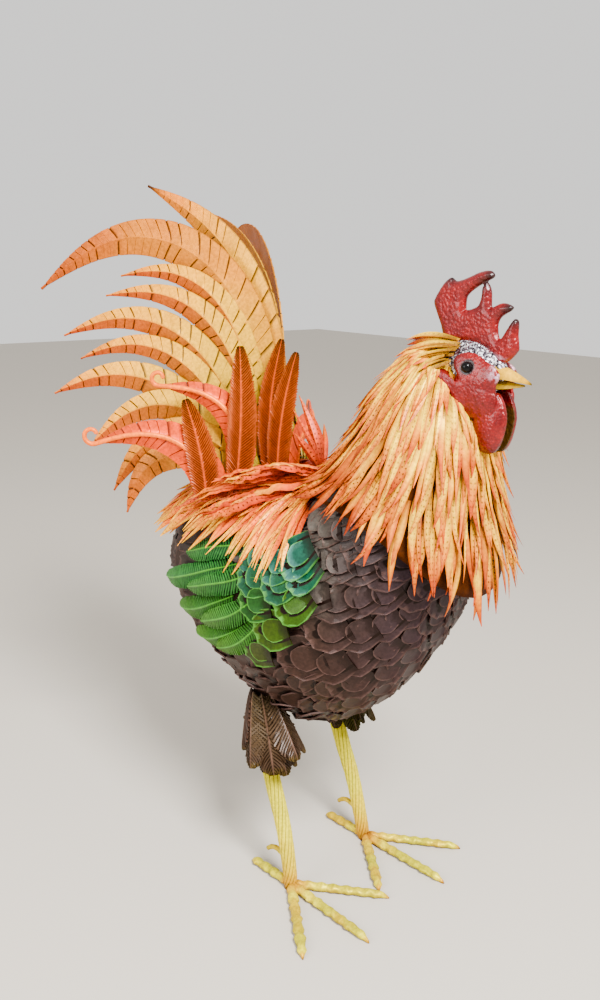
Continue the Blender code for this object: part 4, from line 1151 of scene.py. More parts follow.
def scalePaint(tree):
    tint = attribute(tree, "tint")
    place = add(tree, "ShaderNodeSeparateXYZ", None,
                Vector=add(tree, "ShaderNodeTexCoord").outputs["Object"]).outputs
    # lighter grey towards the top of the body: painted light
    high = ranged(tree, calc(tree, "ADD", place[2], calc(tree, "MULTIPLY", tint, 0.06)), 0.50, 0.66)
    base = mixColour(tree, high, tone(92, 68, 60), tone(106, 98, 90))
    base = mixColour(tree, ranged(tree, place[1], -0.22, -0.34), base, tone(84, 66, 72))
    base = mixColour(tree, ranged(tree, tint, 0.35, 1.0, 0.0, 0.45), base, tone(64, 46, 42))
    # green sprayed over from the wing
    out = calc(tree, "SUBTRACT", calc(tree, "ABSOLUTE", place[0]), 0.165)
    back = calc(tree, "SUBTRACT", place[1], -0.125)
    up = calc(tree, "SUBTRACT", place[2], 0.575)
    far = calc(tree, "ADD", calc(tree, "MULTIPLY", out, out), calc(tree, "MULTIPLY", back, back))
    far = calc(tree, "SQRT", calc(tree, "ADD", far, calc(tree, "MULTIPLY", up, up)))
    base = mixColour(tree, ranged(tree, far, 0.035, 0.080, 0.85, 0.0), base, tone(60, 150, 126))
    pale = ranged(tree, calc(tree, "ABSOLUTE", calc(tree, "SUBTRACT", far, 0.095)), 0.01, 0.04, 0.55, 0.0)
    pale = calc(tree, "MULTIPLY", pale, ranged(tree, place[2], 0.52, 0.58))
    base = mixColour(tree, pale, base, tone(190, 184, 176))
    # tone(160, 128, 120) is the painted rim highlight; the slot value carries painted shadow and shade
    colour, slot = scaleMarks(tree, base, tone(160, 128, 120), 0.55)
    return {"colour": colour, "grime": 0.30, "rub": 0.30, "rough": 0.40, "slit": slot}


looks["scale"] = newMaterial("scale_paint", scalePaint, 0.45, 0.1)
# painted shade under the body scales
looks["bodyUnder"] = newMaterial("body_under", shadeUnderPaint(tone(40, 26, 24)), 0.3)
bodyScales = {"first": 8.3, "last": 0.60, "rows": 20, "around": 16, "size": 0.0660, "loose": 0.06, "lift": 0.0005, "swing": 1.5}


def scalePoints():
    rng = random.Random(5)
    verts, outs, aheads = [], [], []
    values = {"size": [], "tint": []}

    def place(u, v, lift):
        return skin(bodyTable, u, v, lift)

    for row in range(bodyScales["rows"]):
        t = blend(bodyScales["first"], bodyScales["last"], row / (bodyScales["rows"] - 1))
        half = smoothValue(bodyTable, t)[4]
        count = max(7, int(round(bodyScales["around"] * min(1.0, half / 0.135))))
        for i in range(count):
            angle = turn * (i + 0.5 * (row % 2) + rng.uniform(-0.08, 0.08)) / count
            sides = math.degrees(min(angle, turn - angle))
            sunk = 0.010 if 2.3 < t < 5.6 and 64.0 < sides < 104.0 else 0.0        # under the wing
            p, ahead, sideways, away = surfaceFrame(place, t, angle, bodyScales["lift"] - sunk)
            verts.append(p)
            outs.append(away)
            aheads.append((-ahead + Vector((0.0, bodyScales["swing"], 0.0))).normalized())
            reach = (skin(bodyTable, t, angle + turn / count, 0.0) - skin(bodyTable, t, angle, 0.0)).length
            values["size"].append(max(0.55, min(1.10, reach / 0.062)) * rng.uniform(0.96, 1.06))
            values["tint"].append(rng.random())
    return verts, [], values, {"faceOut": outs, "ahead": aheads}


piece = growMesh("body_scales", *scalePoints(), scales, {
    "Scale Shape": pressed, "Paint": looks["scale"], "Size": bodyScales["size"], "Loose": bodyScales["loose"],
    "Seed": 3})
handIn(piece, "scale_paint", looks["scale"], "body")
under = lathedSkin("body_under", bodyTable, 9.0, 0.0, 40, 48, -0.002)
handIn(under, "scale_paint", looks["bodyUnder"], "body")
print("body made")


# ---------- wings ----------
wing = {
    # root and tip as section and degrees around the body, width, lift at the root and tip, tint
    "long": (
        (3.95, 59.1, 2.45, 72.0, 0.040, 0.016, 0.022, 0.10), (3.85, 68.0, 1.25, 97.0, 0.042, 0.014, 0.030, 0.20),
        (3.75, 82.0, 1.64, 111.6, 0.042, 0.013, 0.024, 0.75), (3.90, 94.4, 2.05, 122.0, 0.042, 0.012, 0.021, 0.95),
        (4.45, 69.5, 2.50, 88.2, 0.040, 0.019, 0.026, 0.30), (4.75, 77.9, 2.75, 101.8, 0.040, 0.018, 0.025, 0.65),
        (4.75, 88.7, 3.00, 112.0, 0.040, 0.017, 0.023, 0.90)),
    # middle as section and degrees, where it points, size, tint
    "coverts": (
        (4.35, 64.0, 61.0, 0.060, 0.30, 0.014), (4.40, 71.5, 69.0, 0.066, 0.42, 0.016),
        (4.45, 81.5, 80.0, 0.066, 0.62, 0.016), (4.75, 95.0, 94.0, 0.064, 0.88, 0.014),
        (4.20, 103.0, 104.0, 0.058, 0.95, 0.012), (5.20, 68.5, 64.0, 0.066, 0.22, 0.019),
        (5.25, 77.0, 73.0, 0.066, 0.40, 0.019), (5.55, 90.0, 85.0, 0.064, 0.80, 0.017),
        (5.90, 73.0, 68.0, 0.064, 0.12, 0.019), (6.00, 82.0, 77.0, 0.060, 0.30, 0.018)),
}


def wingPlace(side):
    def place(t, angle, lift):
        return skin(bodyTable, t, side * math.radians(angle), lift)
    return place


def wingPaint(tree):
    along = attribute(tree, "along")
    across = attribute(tree, "across")
    tint = attribute(tree, "tint")
    teal = ramp(tree, along, [(0.0, tone(30, 88, 66)), (0.5, tone(58, 126, 90)), (1.0, tone(108, 164, 112))])
    leafy = ramp(tree, along, [(0.0, tone(56, 102, 48)), (0.5, tone(96, 144, 68)), (1.0, tone(146, 174, 92))])
    colour = mixColour(tree, tint, teal, leafy)
    rib = ranged(tree, calc(tree, "ABSOLUTE", across), 0.02, 0.10, 0.8, 0.0)
    colour = mixColour(tree, rib, colour, tone(170, 220, 130))
    ridge = ranged(tree, attribute(tree, "slit"), 0.0, 0.5, 0.30, 0.0)
    colour = mixColour(tree, ridge, colour, tone(140, 204, 120))
    return {"colour": colour, "grime": 0.15, "rub": 0.30, "rough": 0.34,
            "slit": calc(tree, "MULTIPLY", attribute(tree, "slit"), 0.8)}


def covertPaint(tree):
    tint = attribute(tree, "tint")
    base = ramp(tree, tint, [(0.0, tone(62, 120, 104)), (0.30, tone(48, 108, 80)), (0.60, tone(58, 110, 58)),
                             (0.85, tone(88, 122, 48)), (1.0, tone(92, 90, 60))])
    along = attribute(tree, "along")
    pale = calc(tree, "MULTIPLY", ranged(tree, along, 0.70, 1.0, 0.0, 0.30), ranged(tree, tint, 0.5, 0.1))
    base = mixColour(tree, pale, base, tone(196, 226, 224))
    # tone(176, 220, 150) is the painted rim highlight; the slot value carries painted shadow and shade
    colour, slot = scaleMarks(tree, base, tone(176, 220, 150), 0.55)
    return {"colour": colour, "grime": 0.2, "rub": 0.3, "rough": 0.34, "slit": slot}


looks["wing"] = newMaterial("wing_paint", wingPaint, 0.2, 0.08)
looks["covert"] = newMaterial("covert_paint", covertPaint, 0.2, 0.08)
# painted shade under the wing feathers
looks["wingUnder"] = newMaterial("wing_under", shadeUnderPaint(tone(44, 26, 20)), 0.2)
wingRib = dict(ribLook, pitch=0.0066, slant=0.95, fold=0.0080, notch=0.22, bead=0.0024, ragged=0.10,
               marks=((0.00, -0.0020, 1.0), (0.20, -0.0016, 0.9), (0.42, 0.0, 0.0), (0.75, 0.0006, 0.0)))


def wingWidth(f):
    grow = 0.55 + 0.45 * np.minimum(1.0, f / 0.3)
    return grow * np.sqrt(np.maximum(0.02, 1.0 - np.maximum(0.0, (f - 0.55) / 0.46) ** 2.2))


def wingFeather(place, row, seed):
    t0, a0, t1, a1, width, low, high, tint = row
    points, outs = [], []
    for k in range(40):
        f = k / 39
        lift = blend(low, high, f) + 0.003 * math.sin(math.pi * f)
        p, ahead, sideways, away = surfaceFrame(place, blend(t0, t1, f), blend(a0, a1, f), lift, 0.05)
        points.append(p)
        outs.append(away)
    return vane(pathFrames(points, outs), dict(wingRib, width=width), wingWidth, tint, seed)


for side, word in ((-1.0, "_right"), (1.0, "_left")):
    place = wingPlace(side)
    sheets = Sheets()
    for number, row in enumerate(wing["long"]):
        sheets.add(*wingFeather(place, row, number))
    piece = sheets.piece("wing_feathers" + word, sharp=38)
    handIn(piece, "wing_paint", looks["wing"], "wing" + word)
    verts, outs, aheads = [], [], []
    values = {"size": [], "tint": []}
    for t, angle, aim, size, tint, lift in wing["coverts"]:
        p, ahead, sideways, away = surfaceFrame(place, t, angle, lift, 0.05)
        verts.append(p)
        outs.append(away)
        aheads.append((place(t - 1.0, 2.0 * angle - aim, lift) - p).normalized())
        values["size"].append(size / 0.060)
        values["tint"].append(tint)
    piece = growMesh("wing_coverts" + word, verts, [], values, {"faceOut": outs, "ahead": aheads}, scales, {
        "Scale Shape": pressed, "Paint": looks["covert"], "Size": 0.060, "Loose": 0.03, "Seed": 12})
    handIn(piece, "wing_paint", looks["covert"], "wing" + word)
    under = sheetOver("wing_under" + word, place, 12, 10, 0.010, 0.002, (2.9, 5.5), (66.0, 100.0))
    handIn(under, "wing_paint", looks["wingUnder"], "wing" + word)
print("wings made")


# ---------- thighs ----------
feet = {-1.0: (-0.113, -0.014), 1.0: (0.088, 0.000)}
lean = {-1.0: 0.000, 1.0: 0.026}


def thighPaint(far):
    def build(tree):
        along = attribute(tree, "along")
        across = attribute(tree, "across")
        tint = attribute(tree, "tint")
        brown = ramp(tree, along, [(0.0, tone(84, 60, 52)), (0.5, tone(112, 82, 72)), (0.9, tone(96, 70, 58)),
                                   (1.0, tone(120, 98, 52))])
        olive = ramp(tree, along, [(0.0, tone(120, 128, 34)), (0.5, tone(134, 140, 42)), (1.0, tone(78, 66, 34))])
        colour = mixColour(tree, calc(tree, "MULTIPLY", tint, far, True), brown, olive)
        rib = ranged(tree, calc(tree, "ABSOLUTE", across), 0.02, 0.09, 0.7, 0.0)
        colour = mixColour(tree, rib, colour, tone(150, 116, 100))
        return {"colour": colour, "grime": 0.35, "rub": 0.35, "rough": 0.45,
                "slit": calc(tree, "MULTIPLY", attribute(tree, "slit"), 0.8)}
    return build


looks["thigh"] = newMaterial("thigh_paint", thighPaint(0.25), 0.35, 0.1)
looks["thighFar"] = newMaterial("thigh_paint_left", thighPaint(1.3), 0.35, 0.1)
thigh = {
    "top": 0.335, "hem": 0.220, "radius": (0.018, 0.058), "width": 0.060, "outer": 7, "inner": 5,
    "look": dict(ribLook, pitch=0.0056, slant=0.85, fold=0.0100, notch=0.26, bead=0.0022, thick=0.0022,
                 ragged=0.20),
}


def thighWidth(f):
    grow = 0.30 + 0.70 * np.minimum(1.0, f / 0.55) ** 0.9
    return grow * np.sqrt(np.maximum(0.02, 1.0 - np.maximum(0.0, (f - 0.50) / 0.51) ** 2.2))


def thighLeaf(side, angle, top, hem, spread, width, tint, seed):
    points = []
    outs = []
    for k in range(30):
        f = k / 29
        z = blend(top, hem, f)
        radius = blend(thigh["radius"][0], spread, f ** 0.85)
        y = feet[side][1] + 0.054 + lean[side] * 0.6 + (z - 0.196) * 0.35 - 0.020
        turned = angle + 0.12 * math.sin(seed * 2.3) * f
        points.append(Vector((feet[side][0] + radius * math.sin(turned) * 0.9, y - radius * math.cos(turned), z)))
        outs.append((math.sin(turned), -math.cos(turned), 0.25))
    line = pathFrames(points, outs)
    return vane(line, dict(thigh["look"], width=width), thighWidth, tint, seed)


for side, word in ((-1.0, "_right"), (1.0, "_left")):
    rng = random.Random(41 if side < 0 else 42)
    sheets = Sheets()
    for i in range(thigh["inner"]):
        angle = turn * (i + 0.5) / thigh["inner"] + 0.3
        sheets.add(*thighLeaf(side, angle, thigh["top"], thigh["hem"] - 0.006, 0.036, 0.050,
                              rng.uniform(0.2, 1.0), i))
    for i in range(thigh["outer"]):
        angle = turn * i / thigh["outer"] - side * 0.15
        sheets.add(*thighLeaf(side, angle, thigh["top"] + 0.004, thigh["hem"] + rng.uniform(0.0, 0.034),
                              thigh["radius"][1], thigh["width"], rng.uniform(0.0, 0.9), 10 + i))
    piece = sheets.piece("thigh_leaves" + word, sharp=38)
    handIn(piece, "thigh_paint", looks["thigh" if side < 0 else "thighFar"], "thigh" + word)
print("thighs made")


# ---------- legs, toes and spurs ----------
def barPaint(tree):
    along = attribute(tree, "along")
    grooveShade = attribute(tree, "slit")
    tint = attribute(tree, "tint")
    place = calc(tree, "ADD", along, calc(tree, "MULTIPLY", calc(tree, "SUBTRACT", objectNoise(tree, 22.0, 3.0), 0.5), 0.25))
    base = ramp(tree, place, [(0.00, tone(84, 54, 76)), (0.10, tone(150, 98, 50)), (0.24, tone(230, 208, 0)),
                              (0.55, tone(240, 236, 0)), (1.00, tone(226, 222, 0))])
    # painted shade in the legs' flute valleys and under the toes
    shade = calc(tree, "MULTIPLY", grooveShade, 0.75)
    colour = mixColour(tree, shade, base, tone(112, 96, 0))
    colour = mixColour(tree, calc(tree, "MULTIPLY", tint, ranged(tree, objectNoise(tree, 16.0, 2.0), 0.45, 0.65)),
                       colour, tone(222, 140, 30))
    return {"colour": colour, "grime": 0.18, "rub": 0.12, "rough": 0.32}


def hammerHeight(tree, scale):
    return add(tree, "ShaderNodeGroup", {"node_tree": hammer}, Scale=scale).outputs[0]


looks["bar"] = newMaterial("yellow_bar", barPaint, 0.2, 0.04)
legs = {
    "path": ((0.000, 0.000), (0.004, 0.035), (0.023, 0.111), (0.056, 0.196), (0.124, 0.390)),
    "radius": (0.0112, 0.0150), "flutes": 11, "turns": 1.05, "rows": 90, "reach": 0.84,
}


def legPoint(side, f):
    y, z = smoothValue(legs["path"], f * 4.0)
    return Vector((feet[side][0], feet[side][1] + y + lean[side] * f, z))


def legBar(side):
    verts, faces = [], []
    along, grooveShade = [], []
    sides = legs["flutes"] * 8
    rows = legs["rows"]
    for k in range(rows + 1):
        f = legs["reach"] * k / rows
        centre = legPoint(side, f)
        ahead = (legPoint(side, f + 0.01) - legPoint(side, max(0.0, f - 0.01))).normalized()
        wideAxis = Vector((1.0, 0.0, 0.0))
        deepAxis = ahead.cross(wideAxis).normalized()
        radius = blend(*legs["radius"], f)
        for i in range(sides):
            a = turn * (i / sides + legs["turns"] * f)
            dip = abs(math.sin(0.5 * legs["flutes"] * turn * i / sides))
            strand = dip ** 0.5
            reach = radius * (0.86 + 0.14 * strand)
            reach *= 1.0 + 0.015 * noise.noise(Vector((i * 0.3, f * 40.0, side)))
            point = centre + wideAxis * reach * math.cos(a) + deepAxis * reach * math.sin(a)
            point.z = max(point.z, 0.0006)
            verts.append(point)
            along.append(0.05 + 0.95 * f / legs["reach"])
            # painted shade in the flute valleys
            grooveShade.append(max(0.0, 1.0 - strand * 1.7))
    for k in range(rows):
        for i in range(sides):
            a = k * sides + i
            b = k * sides + (i + 1) % sides
            faces.append((a, b, b + sides, a + sides))
    for row in (0, rows):
        ring = range(row * sides, (row + 1) * sides)
        verts.append(sum((verts[i] for i in ring), Vector()) / sides)
        along.append(0.05 if row == 0 else 1.0)
        grooveShade.append(0.0)
        for i in range(sides):
            faces.append((row * sides + i, row * sides + (i + 1) % sides, len(verts) - 1))
    values = {"along": along, "slit": grooveShade, "tint": [0.10] * len(verts)}
    return verts, faces, values


toes = {
    "half": 0.0086, "high": 0.0156, "rows": 70, "sides": 16, "wave": 0.12,
    "list": (("toe_inner", -38.0, 0.168), ("toe_middle", 1.0, 0.184), ("toe_outer", 37.0, 0.176),
             ("toe_back", 180.0, 0.100)),
    "leftInner": 0.156,
}


def toeBar(side, heading, length, seed):
    # an uneven hammered bar, thin at the hub, its claw bent down to the floor
    a = math.radians(heading)
    ahead = Vector((side * math.sin(a), -math.cos(a), 0.0))
    across = Vector((math.cos(a), side * math.sin(a), 0.0))
    hub = Vector((feet[side][0], feet[side][1], 0.0))
    verts, faces, along, grooveShade = [], [], [], []
    rows, sides = toes["rows"], toes["sides"]
    for k in range(rows + 1):
        f = k / rows
        reach = blend(0.006, length, f)
        tip = max(0.0, (f - 0.80) / 0.20)
        root = min(1.0, reach / 0.022)
        wave = math.sin(reach * 260.0 + seed) + 0.6 * math.sin(reach * 431.0 + 2.0 * seed)
        half = toes["half"] * blend(0.72, 1.0, root) * (1.0 + toes["wave"] * wave)
        half *= math.sqrt(max(0.03, 1.0 - tip ** 2.2)) * blend(1.0, 0.8, tip)
        high = toes["high"] * (1.0 + 0.6 * toes["wave"] * math.sin(reach * 310.0 + seed * 3.0))
        high *= blend(1.0, 0.86, f) * math.sqrt(max(0.04, 1.0 - tip ** 2.6))
        for i in range(sides):
            b = turn * i / sides
            ridge = 1.0 - 0.10 * abs(math.sin(2.0 * b))
            x = math.cos(b) * half * ridge
            z = 0.5 * high * (1.0 + math.sin(b) * ridge)
            rough = noise.noise(Vector((reach * 90.0, b * 1.5, seed * 7.0 + side)))
            centre = hub + ahead * reach
            point = centre + across * (x * (1.0 + 0.10 * rough)) + Vector((0.0, 0.0, z * (1.0 + 0.06 * rough)))
            point.z = max(point.z, 0.0004)
            verts.append(point)
            along.append(min(1.0, 0.08 + 2.2 * f) if f < 0.86 else 1.0 - 0.86 * (f - 0.86) / 0.14)
            # painted shade under the toe and in its low dents
            grooveShade.append(max(0.0, 0.5 - math.sin(b)) * 0.45 + max(0.0, -rough) * 0.5)
    for k in range(rows):
        for i in range(sides):
            p = k * sides + i
            q = k * sides + (i + 1) % sides
            faces.append((p, q, q + sides, p + sides))
    for row in (0, rows):
        ring = range(row * sides, (row + 1) * sides)
        verts.append(sum((verts[i] for i in ring), Vector()) / sides + ahead * (0.001 if row else -0.001))
        along.append(0.1)
        grooveShade.append(0.0)
        for i in range(sides):
            faces.append((row * sides + i, row * sides + (i + 1) % sides, len(verts) - 1))
    return verts, faces, {"along": along, "slit": grooveShade, "tint": [0.30] * len(verts)}


def spurBar(side):
    root = legPoint(side, 0.36)
    root.z = 0.052
    points = []
    for k in range(13):
        f = k / 12
        points.append(root + Vector((0.0, 0.004 + 0.044 * f, 0.008 * math.sin(2.4 * f) - 0.010 * f ** 3)))
    radii = [blend(0.0050, 0.0040, k / 12) * (1.0 + 0.06 * math.sin(k * 2.1)) for k in range(13)]
    verts, faces, values = tube(points, radii, 12, 0.4, (0.5, 1.0))
    return verts, faces, values


for side, word in ((-1.0, "_right"), (1.0, "_left")):
    piece = makePiece("leg_bar" + word, *legBar(side), sharp=50)
    handIn(piece, "yellow_paint", looks["bar"], "leg" + word)
    for number, (name, heading, length) in enumerate(toes["list"]):
        if name == "toe_inner" and side > 0.0:
            length = toes["leftInner"]
        piece = makePiece(name + word + "_bar", *toeBar(side, heading, length, number + 1.3), sharp=60)
        handIn(piece, "yellow_paint", looks["bar"], name + word)
    piece = makePiece("spur_bar" + word, *spurBar(side))
    handIn(piece, "yellow_paint", looks["bar"], "spur" + word)
print("legs made")


# ---------- head ----------
def redPaint(inner):
    def build(tree):
        dark = attribute(tree, "along")
        silver = attribute(tree, "tint")
        marks = add(tree, "ShaderNodeGroup", {"node_tree": hammer}, Scale=240.0)
        patch = ranged(tree, objectNoise(tree, 30.0, 4.0), 0.35, 0.65)
        base = mixColour(tree, patch, tone(158, 28, 38), tone(196, 44, 52))
        base = mixColour(tree, calc(tree, "MULTIPLY", marks.outputs[1], 0.40), base, tone(84, 12, 22))
        if inner:
            place = add(tree, "ShaderNodeSeparateXYZ", None,
                        Vector=add(tree, "ShaderNodeTexCoord").outputs["Object"]).outputs
            off = calc(tree, "ABSOLUTE", calc(tree, "SUBTRACT", place[0], feetShift.x))
            low = calc(tree, "MULTIPLY", ranged(tree, off, 0.0105, 0.0088), ranged(tree, place[2], 0.862, 0.850))
            base = mixColour(tree, low, base, tone(104, 72, 20))
        base = mixColour(tree, dark, base, tone(36, 16, 18))
        bare = calc(tree, "MULTIPLY", silver, ranged(tree, objectNoise(tree, 150.0, 4.0), 0.40, 0.58))
        base = mixColour(tree, bare, base, tone(240, 226, 232))
        return {"colour": base, "grime": 0.12, "rub": 0.05, "rough": 0.26,
                "height": calc(tree, "MULTIPLY", marks.outputs[0], -1.6)}
    return build


def silverPaint(tree):
    fine = objectNoise(tree, 300.0, 5.0)
    # speckled bare metal: the same noise raises the lumps, so the white on them and the dark in the low spots are
    # painted highlight and shade
    base = ramp(tree, fine, [(0.34, tone(40, 32, 38)), (0.48, tone(150, 140, 150)), (0.60, tone(255, 250, 255))])
    base = mixColour(tree, ranged(tree, objectNoise(tree, 70.0, 3.0), 0.55, 0.68, 0.0, 0.7), base, tone(170, 70, 84))
    return {"colour": base, "grime": 0.1, "rub": 0.3, "rough": 0.32, "height": calc(tree, "MULTIPLY", fine, 1.5)}


def beakPaint(tree):
    along = attribute(tree, "along")
    base = ramp(tree, along, [(0.0, tone(214, 190, 20)), (0.6, tone(236, 216, 50)), (0.9, tone(222, 198, 30)),
                              (1.0, tone(120, 96, 40))])
    # the tint attribute carries painted shade: the lower beak and the underside of each half darker
    base = mixColour(tree, attribute(tree, "tint"), base, tone(176, 148, 10))
    return {"colour": base, "grime": 0.12, "rub": 0.2, "rough": 0.34}


looks["red"] = newMaterial("red_hammered", redPaint(False), 0.25, 0.25, 0.0010, 0.3)
looks["face"] = newMaterial("red_face", redPaint(True), 0.25, 0.25, 0.0010, 0.3)
looks["silver"] = newMaterial("silver_bare", silverPaint, 0.7, 0.0, 0.0015)
looks["beak"] = newMaterial("beak_paint", beakPaint, 0.15, 0.05)


def eyePaint(tree):
    return {"colour": (0.002, 0.002, 0.002, 1.0), "grime": 0.0, "rub": 0.0, "rough": 0.10}


looks["eye"] = newMaterial("eye_gloss", eyePaint, 0.0, 0.0, 0.0, 0.12)


def fuse(parts, name, voxel, smooth=2):
    # several closed forms become one skin
    verts, faces = [], []
    for partVerts, partFaces in parts:
        base = len(verts)
        verts.extend(partVerts)
        faces.extend([[i + base for i in f] for f in partFaces])
    piece = makePiece(name, verts, faces)
    change = piece.modifiers.new("fuse", "REMESH")
    change.mode = "VOXEL"
    change.voxel_size = voxel
    ease = piece.modifiers.new("ease", "SMOOTH")
    ease.factor = 0.6
    ease.iterations = smooth
    bpy.context.view_layer.update()
    done = bpy.data.meshes.new_from_object(piece.evaluated_get(bpy.context.evaluated_depsgraph_get()))
    piece.modifiers.clear()
    piece.data = done
    return piece


def paintMesh(piece, along, tint):
    for key, rule in (("along", along), ("tint", tint)):
        layer = piece.data.attributes.new(key, "FLOAT", "POINT")
        layer.data.foreach_set("value", [rule(v.co) for v in piece.data.vertices])


def hammerMesh(piece, pitch, depth, flatness=1.0):
    # close round dents, pushed in along each vertex normal
    moves = []
    for vert in piece.data.vertices:
        place = vert.co / pitch
        near = noise.voronoi(place)[0]
        dent = max(0.0, 1.0 - near[0] * 1.5)
        moves.append(vert.normal * (-depth * dent * dent * flatness))
    for vert, move in zip(piece.data.vertices, moves):
        vert.co += move


comb = {
    "half": 0.0085, "round": 0.0125, "flat": 0.0035, "voxel": 0.0013,
    "outline": (
        (-0.1905, 1.0246), (-0.1781, 1.0159), (-0.1652, 0.9967), (-0.1635, 0.9873), (-0.1722, 0.9690),
        (-0.1778, 0.9580), (-0.1838, 0.9434), (-0.1965, 0.9330), (-0.2243, 0.9372), (-0.2475, 0.9335),
        (-0.2707, 0.9227), (-0.2804, 0.9127), (-0.2932, 0.9157), (-0.3088, 0.9315), (-0.3088, 0.9422),
        (-0.3068, 0.9526), (-0.3062, 0.9702), (-0.3005, 0.9742), (-0.2928, 0.9658), (-0.2816, 0.9480),
        (-0.2761, 0.9485), (-0.2735, 0.9645), (-0.2790, 0.9756), (-0.2932, 0.9844), (-0.2959, 0.9898),
        (-0.2860, 0.9936), (-0.2753, 0.9931), (-0.2628, 0.9871), (-0.2606, 0.9890), (-0.2585, 1.0100),
        (-0.2510, 1.0204), (-0.2450, 1.0130), (-0.2439, 1.0004), (-0.2383, 0.9875), (-0.2195, 0.9811),
        (-0.2181, 0.9846), (-0.2192, 0.9993), (-0.2318, 1.0107), (-0.2488, 1.0203), (-0.2624, 1.0278),
        (-0.2563, 1.0356), (-0.2388, 1.0333), (-0.2170, 1.0245), (-0.2000, 1.0200)),
    "tips": ((-0.1935, 1.0235), (-0.2600, 1.0300), (-0.2515, 1.0185), (-0.2940, 0.9890), (-0.3030, 0.9720)),
}


def closedCurve(points, count):
    # evenly spread, rounded points along a closed outline
    size = len(points)
    row = []
    for k in range(count):
        t = size * k / count
        i = int(t)
        f = t - i
        p, q, r, s = (points[(i + d) % size] for d in (-1, 0, 1, 2))
        row.append(tuple(
            0.5 * (2 * q[c] + (r[c] - p[c]) * f + (2 * p[c] - 5 * q[c] + 4 * r[c] - s[c]) * f * f
                   + (3 * q[c] - p[c] - 3 * r[c] + s[c]) * f ** 3) for c in (0, 1)))
    return row


def combForm():
    # the outline as a flat plate, then swelled to a round edge by the distance from the outline
    ring = closedCurve(comb["outline"], 176)
    count = len(ring)
    verts = [Vector((x, y, z)) for x in (-comb["flat"], comb["flat"]) for y, z in ring]
    faces = [tuple(range(count)), tuple(range(count, 2 * count))]
    faces += [(i, (i + 1) % count, (i + 1) % count + count, i + count) for i in range(count)]
    piece = fuse([(verts, faces)], "comb_hammered", comb["voxel"], 2)
    start = np.asarray(ring)
    step = np.roll(start, -1, axis=0) - start
    for vert in piece.data.vertices:
        rel = np.array((vert.co.y, vert.co.z)) - start
        f = np.clip((rel * step).sum(1) / (step * step).sum(1), 0.0, 1.0)
        far = float(np.sqrt((((rel - f[:, None] * step)) ** 2).sum(1).min()))
        swell = comb["half"] * math.sqrt(1.0 - (1.0 - min(1.0, far / comb["round"])) ** 2)
        vert.co.x = min(1.0, max(-1.0, vert.co.x / comb["flat"])) * max(0.0020, swell)
    return piece


piece = combForm()
finishMesh(piece)
hammerMesh(piece, 0.0042, 0.0007)


def hornTip(point):
    # dark towards the nearest horn tip
    best = min(math.hypot(point.y - y, point.z - z) for y, z in comb["tips"])
    return max(0.0, 1.0 - best / 0.017) ** 0.8


paintMesh(piece, hornTip, lambda p: max(0.0, 0.6 - abs(p.z - 0.932 - 0.35 * min(0.0, p.y + 0.25)) / 0.012))
piece.data.shade_smooth()
handIn(piece, "red_paint", looks["red"], "comb")

face = {
    "voxel": 0.0012,
    # outline of the cheek and of the wattle, y and z, from the photo's near side
    "cheek": (
        (-0.2273, 0.9186), (-0.2362, 0.9248), (-0.2491, 0.9261), (-0.2603, 0.9231), (-0.2719, 0.9169),
        (-0.2878, 0.9095), (-0.2964, 0.8978), (-0.2920, 0.8866), (-0.2907, 0.8774), (-0.2936, 0.8687),
        (-0.2926, 0.8558), (-0.2826, 0.8453), (-0.2653, 0.8383), (-0.2477, 0.8369), (-0.2382, 0.8387),
        (-0.2282, 0.8462), (-0.2210, 0.8549), (-0.2167, 0.8620), (-0.2099, 0.8641), (-0.2027, 0.8719),
        (-0.1993, 0.8810), (-0.2004, 0.8943), (-0.2076, 0.9008), (-0.2155, 0.8965), (-0.2237, 0.8869),
        (-0.2283, 0.8892), (-0.2313, 0.9005), (-0.2272, 0.9058), (-0.2254, 0.9130)),
    "wattle": (
        (-0.2656, 0.8626), (-0.2782, 0.8716), (-0.2889, 0.8747), (-0.2960, 0.8682), (-0.3025, 0.8563),
        (-0.3060, 0.8421), (-0.3052, 0.8273), (-0.3013, 0.8101), (-0.2958, 0.7981), (-0.2897, 0.7915),
        (-0.2810, 0.7891), (-0.2719, 0.7904), (-0.2645, 0.7968), (-0.2579, 0.8072), (-0.2521, 0.8215),
        (-0.2497, 0.8363), (-0.2543, 0.8500)),
    # middle y and z, inner x, rim x, dome height, flare to the rear
    "cheekForm": (-0.250, 0.880, 0.018, 0.0235, 0.0095, 0.30),
    "wattleForm": (-0.281, 0.828, 0.0080, 0.0145, 0.0100, 0.0),
}


def plateForm(outline, form, side):
    midY, midZ, inner, rim, dome, flare = form
    rim0 = closedCurve(outline, 96)
    verts, faces = [], []
    count = len(rim0)
    shares = (1.0, 0.96, 0.85, 0.70, 0.52, 0.34, 0.16)

    def put(x, y, z):
        verts.append(Vector((side * (x + flare * max(0.0, y - midY)), y, z)))

    for y, z in rim0:
        put(inner - 0.5 * flare * max(0.0, y - midY), y, z)
    for share in shares:
        rise = rim + dome * (1.0 - share ** 2.6)
        for y, z in rim0:
            put(rise, midY + (y - midY) * share, midZ + (z - midZ) * share)
    for k in range(len(shares)):
        for i in range(count):
            j = (i + 1) % count
            faces.append((k * count + i, k * count + j, (k + 1) * count + j, (k + 1) * count + i))
    put(inner, midY, midZ)
    put(rim + dome, midY, midZ)
    for i in range(count):
        j = (i + 1) % count
        faces.append((j, i, len(verts) - 2))
        faces.append((len(shares) * count + i, len(shares) * count + j, len(verts) - 1))
    return verts, faces


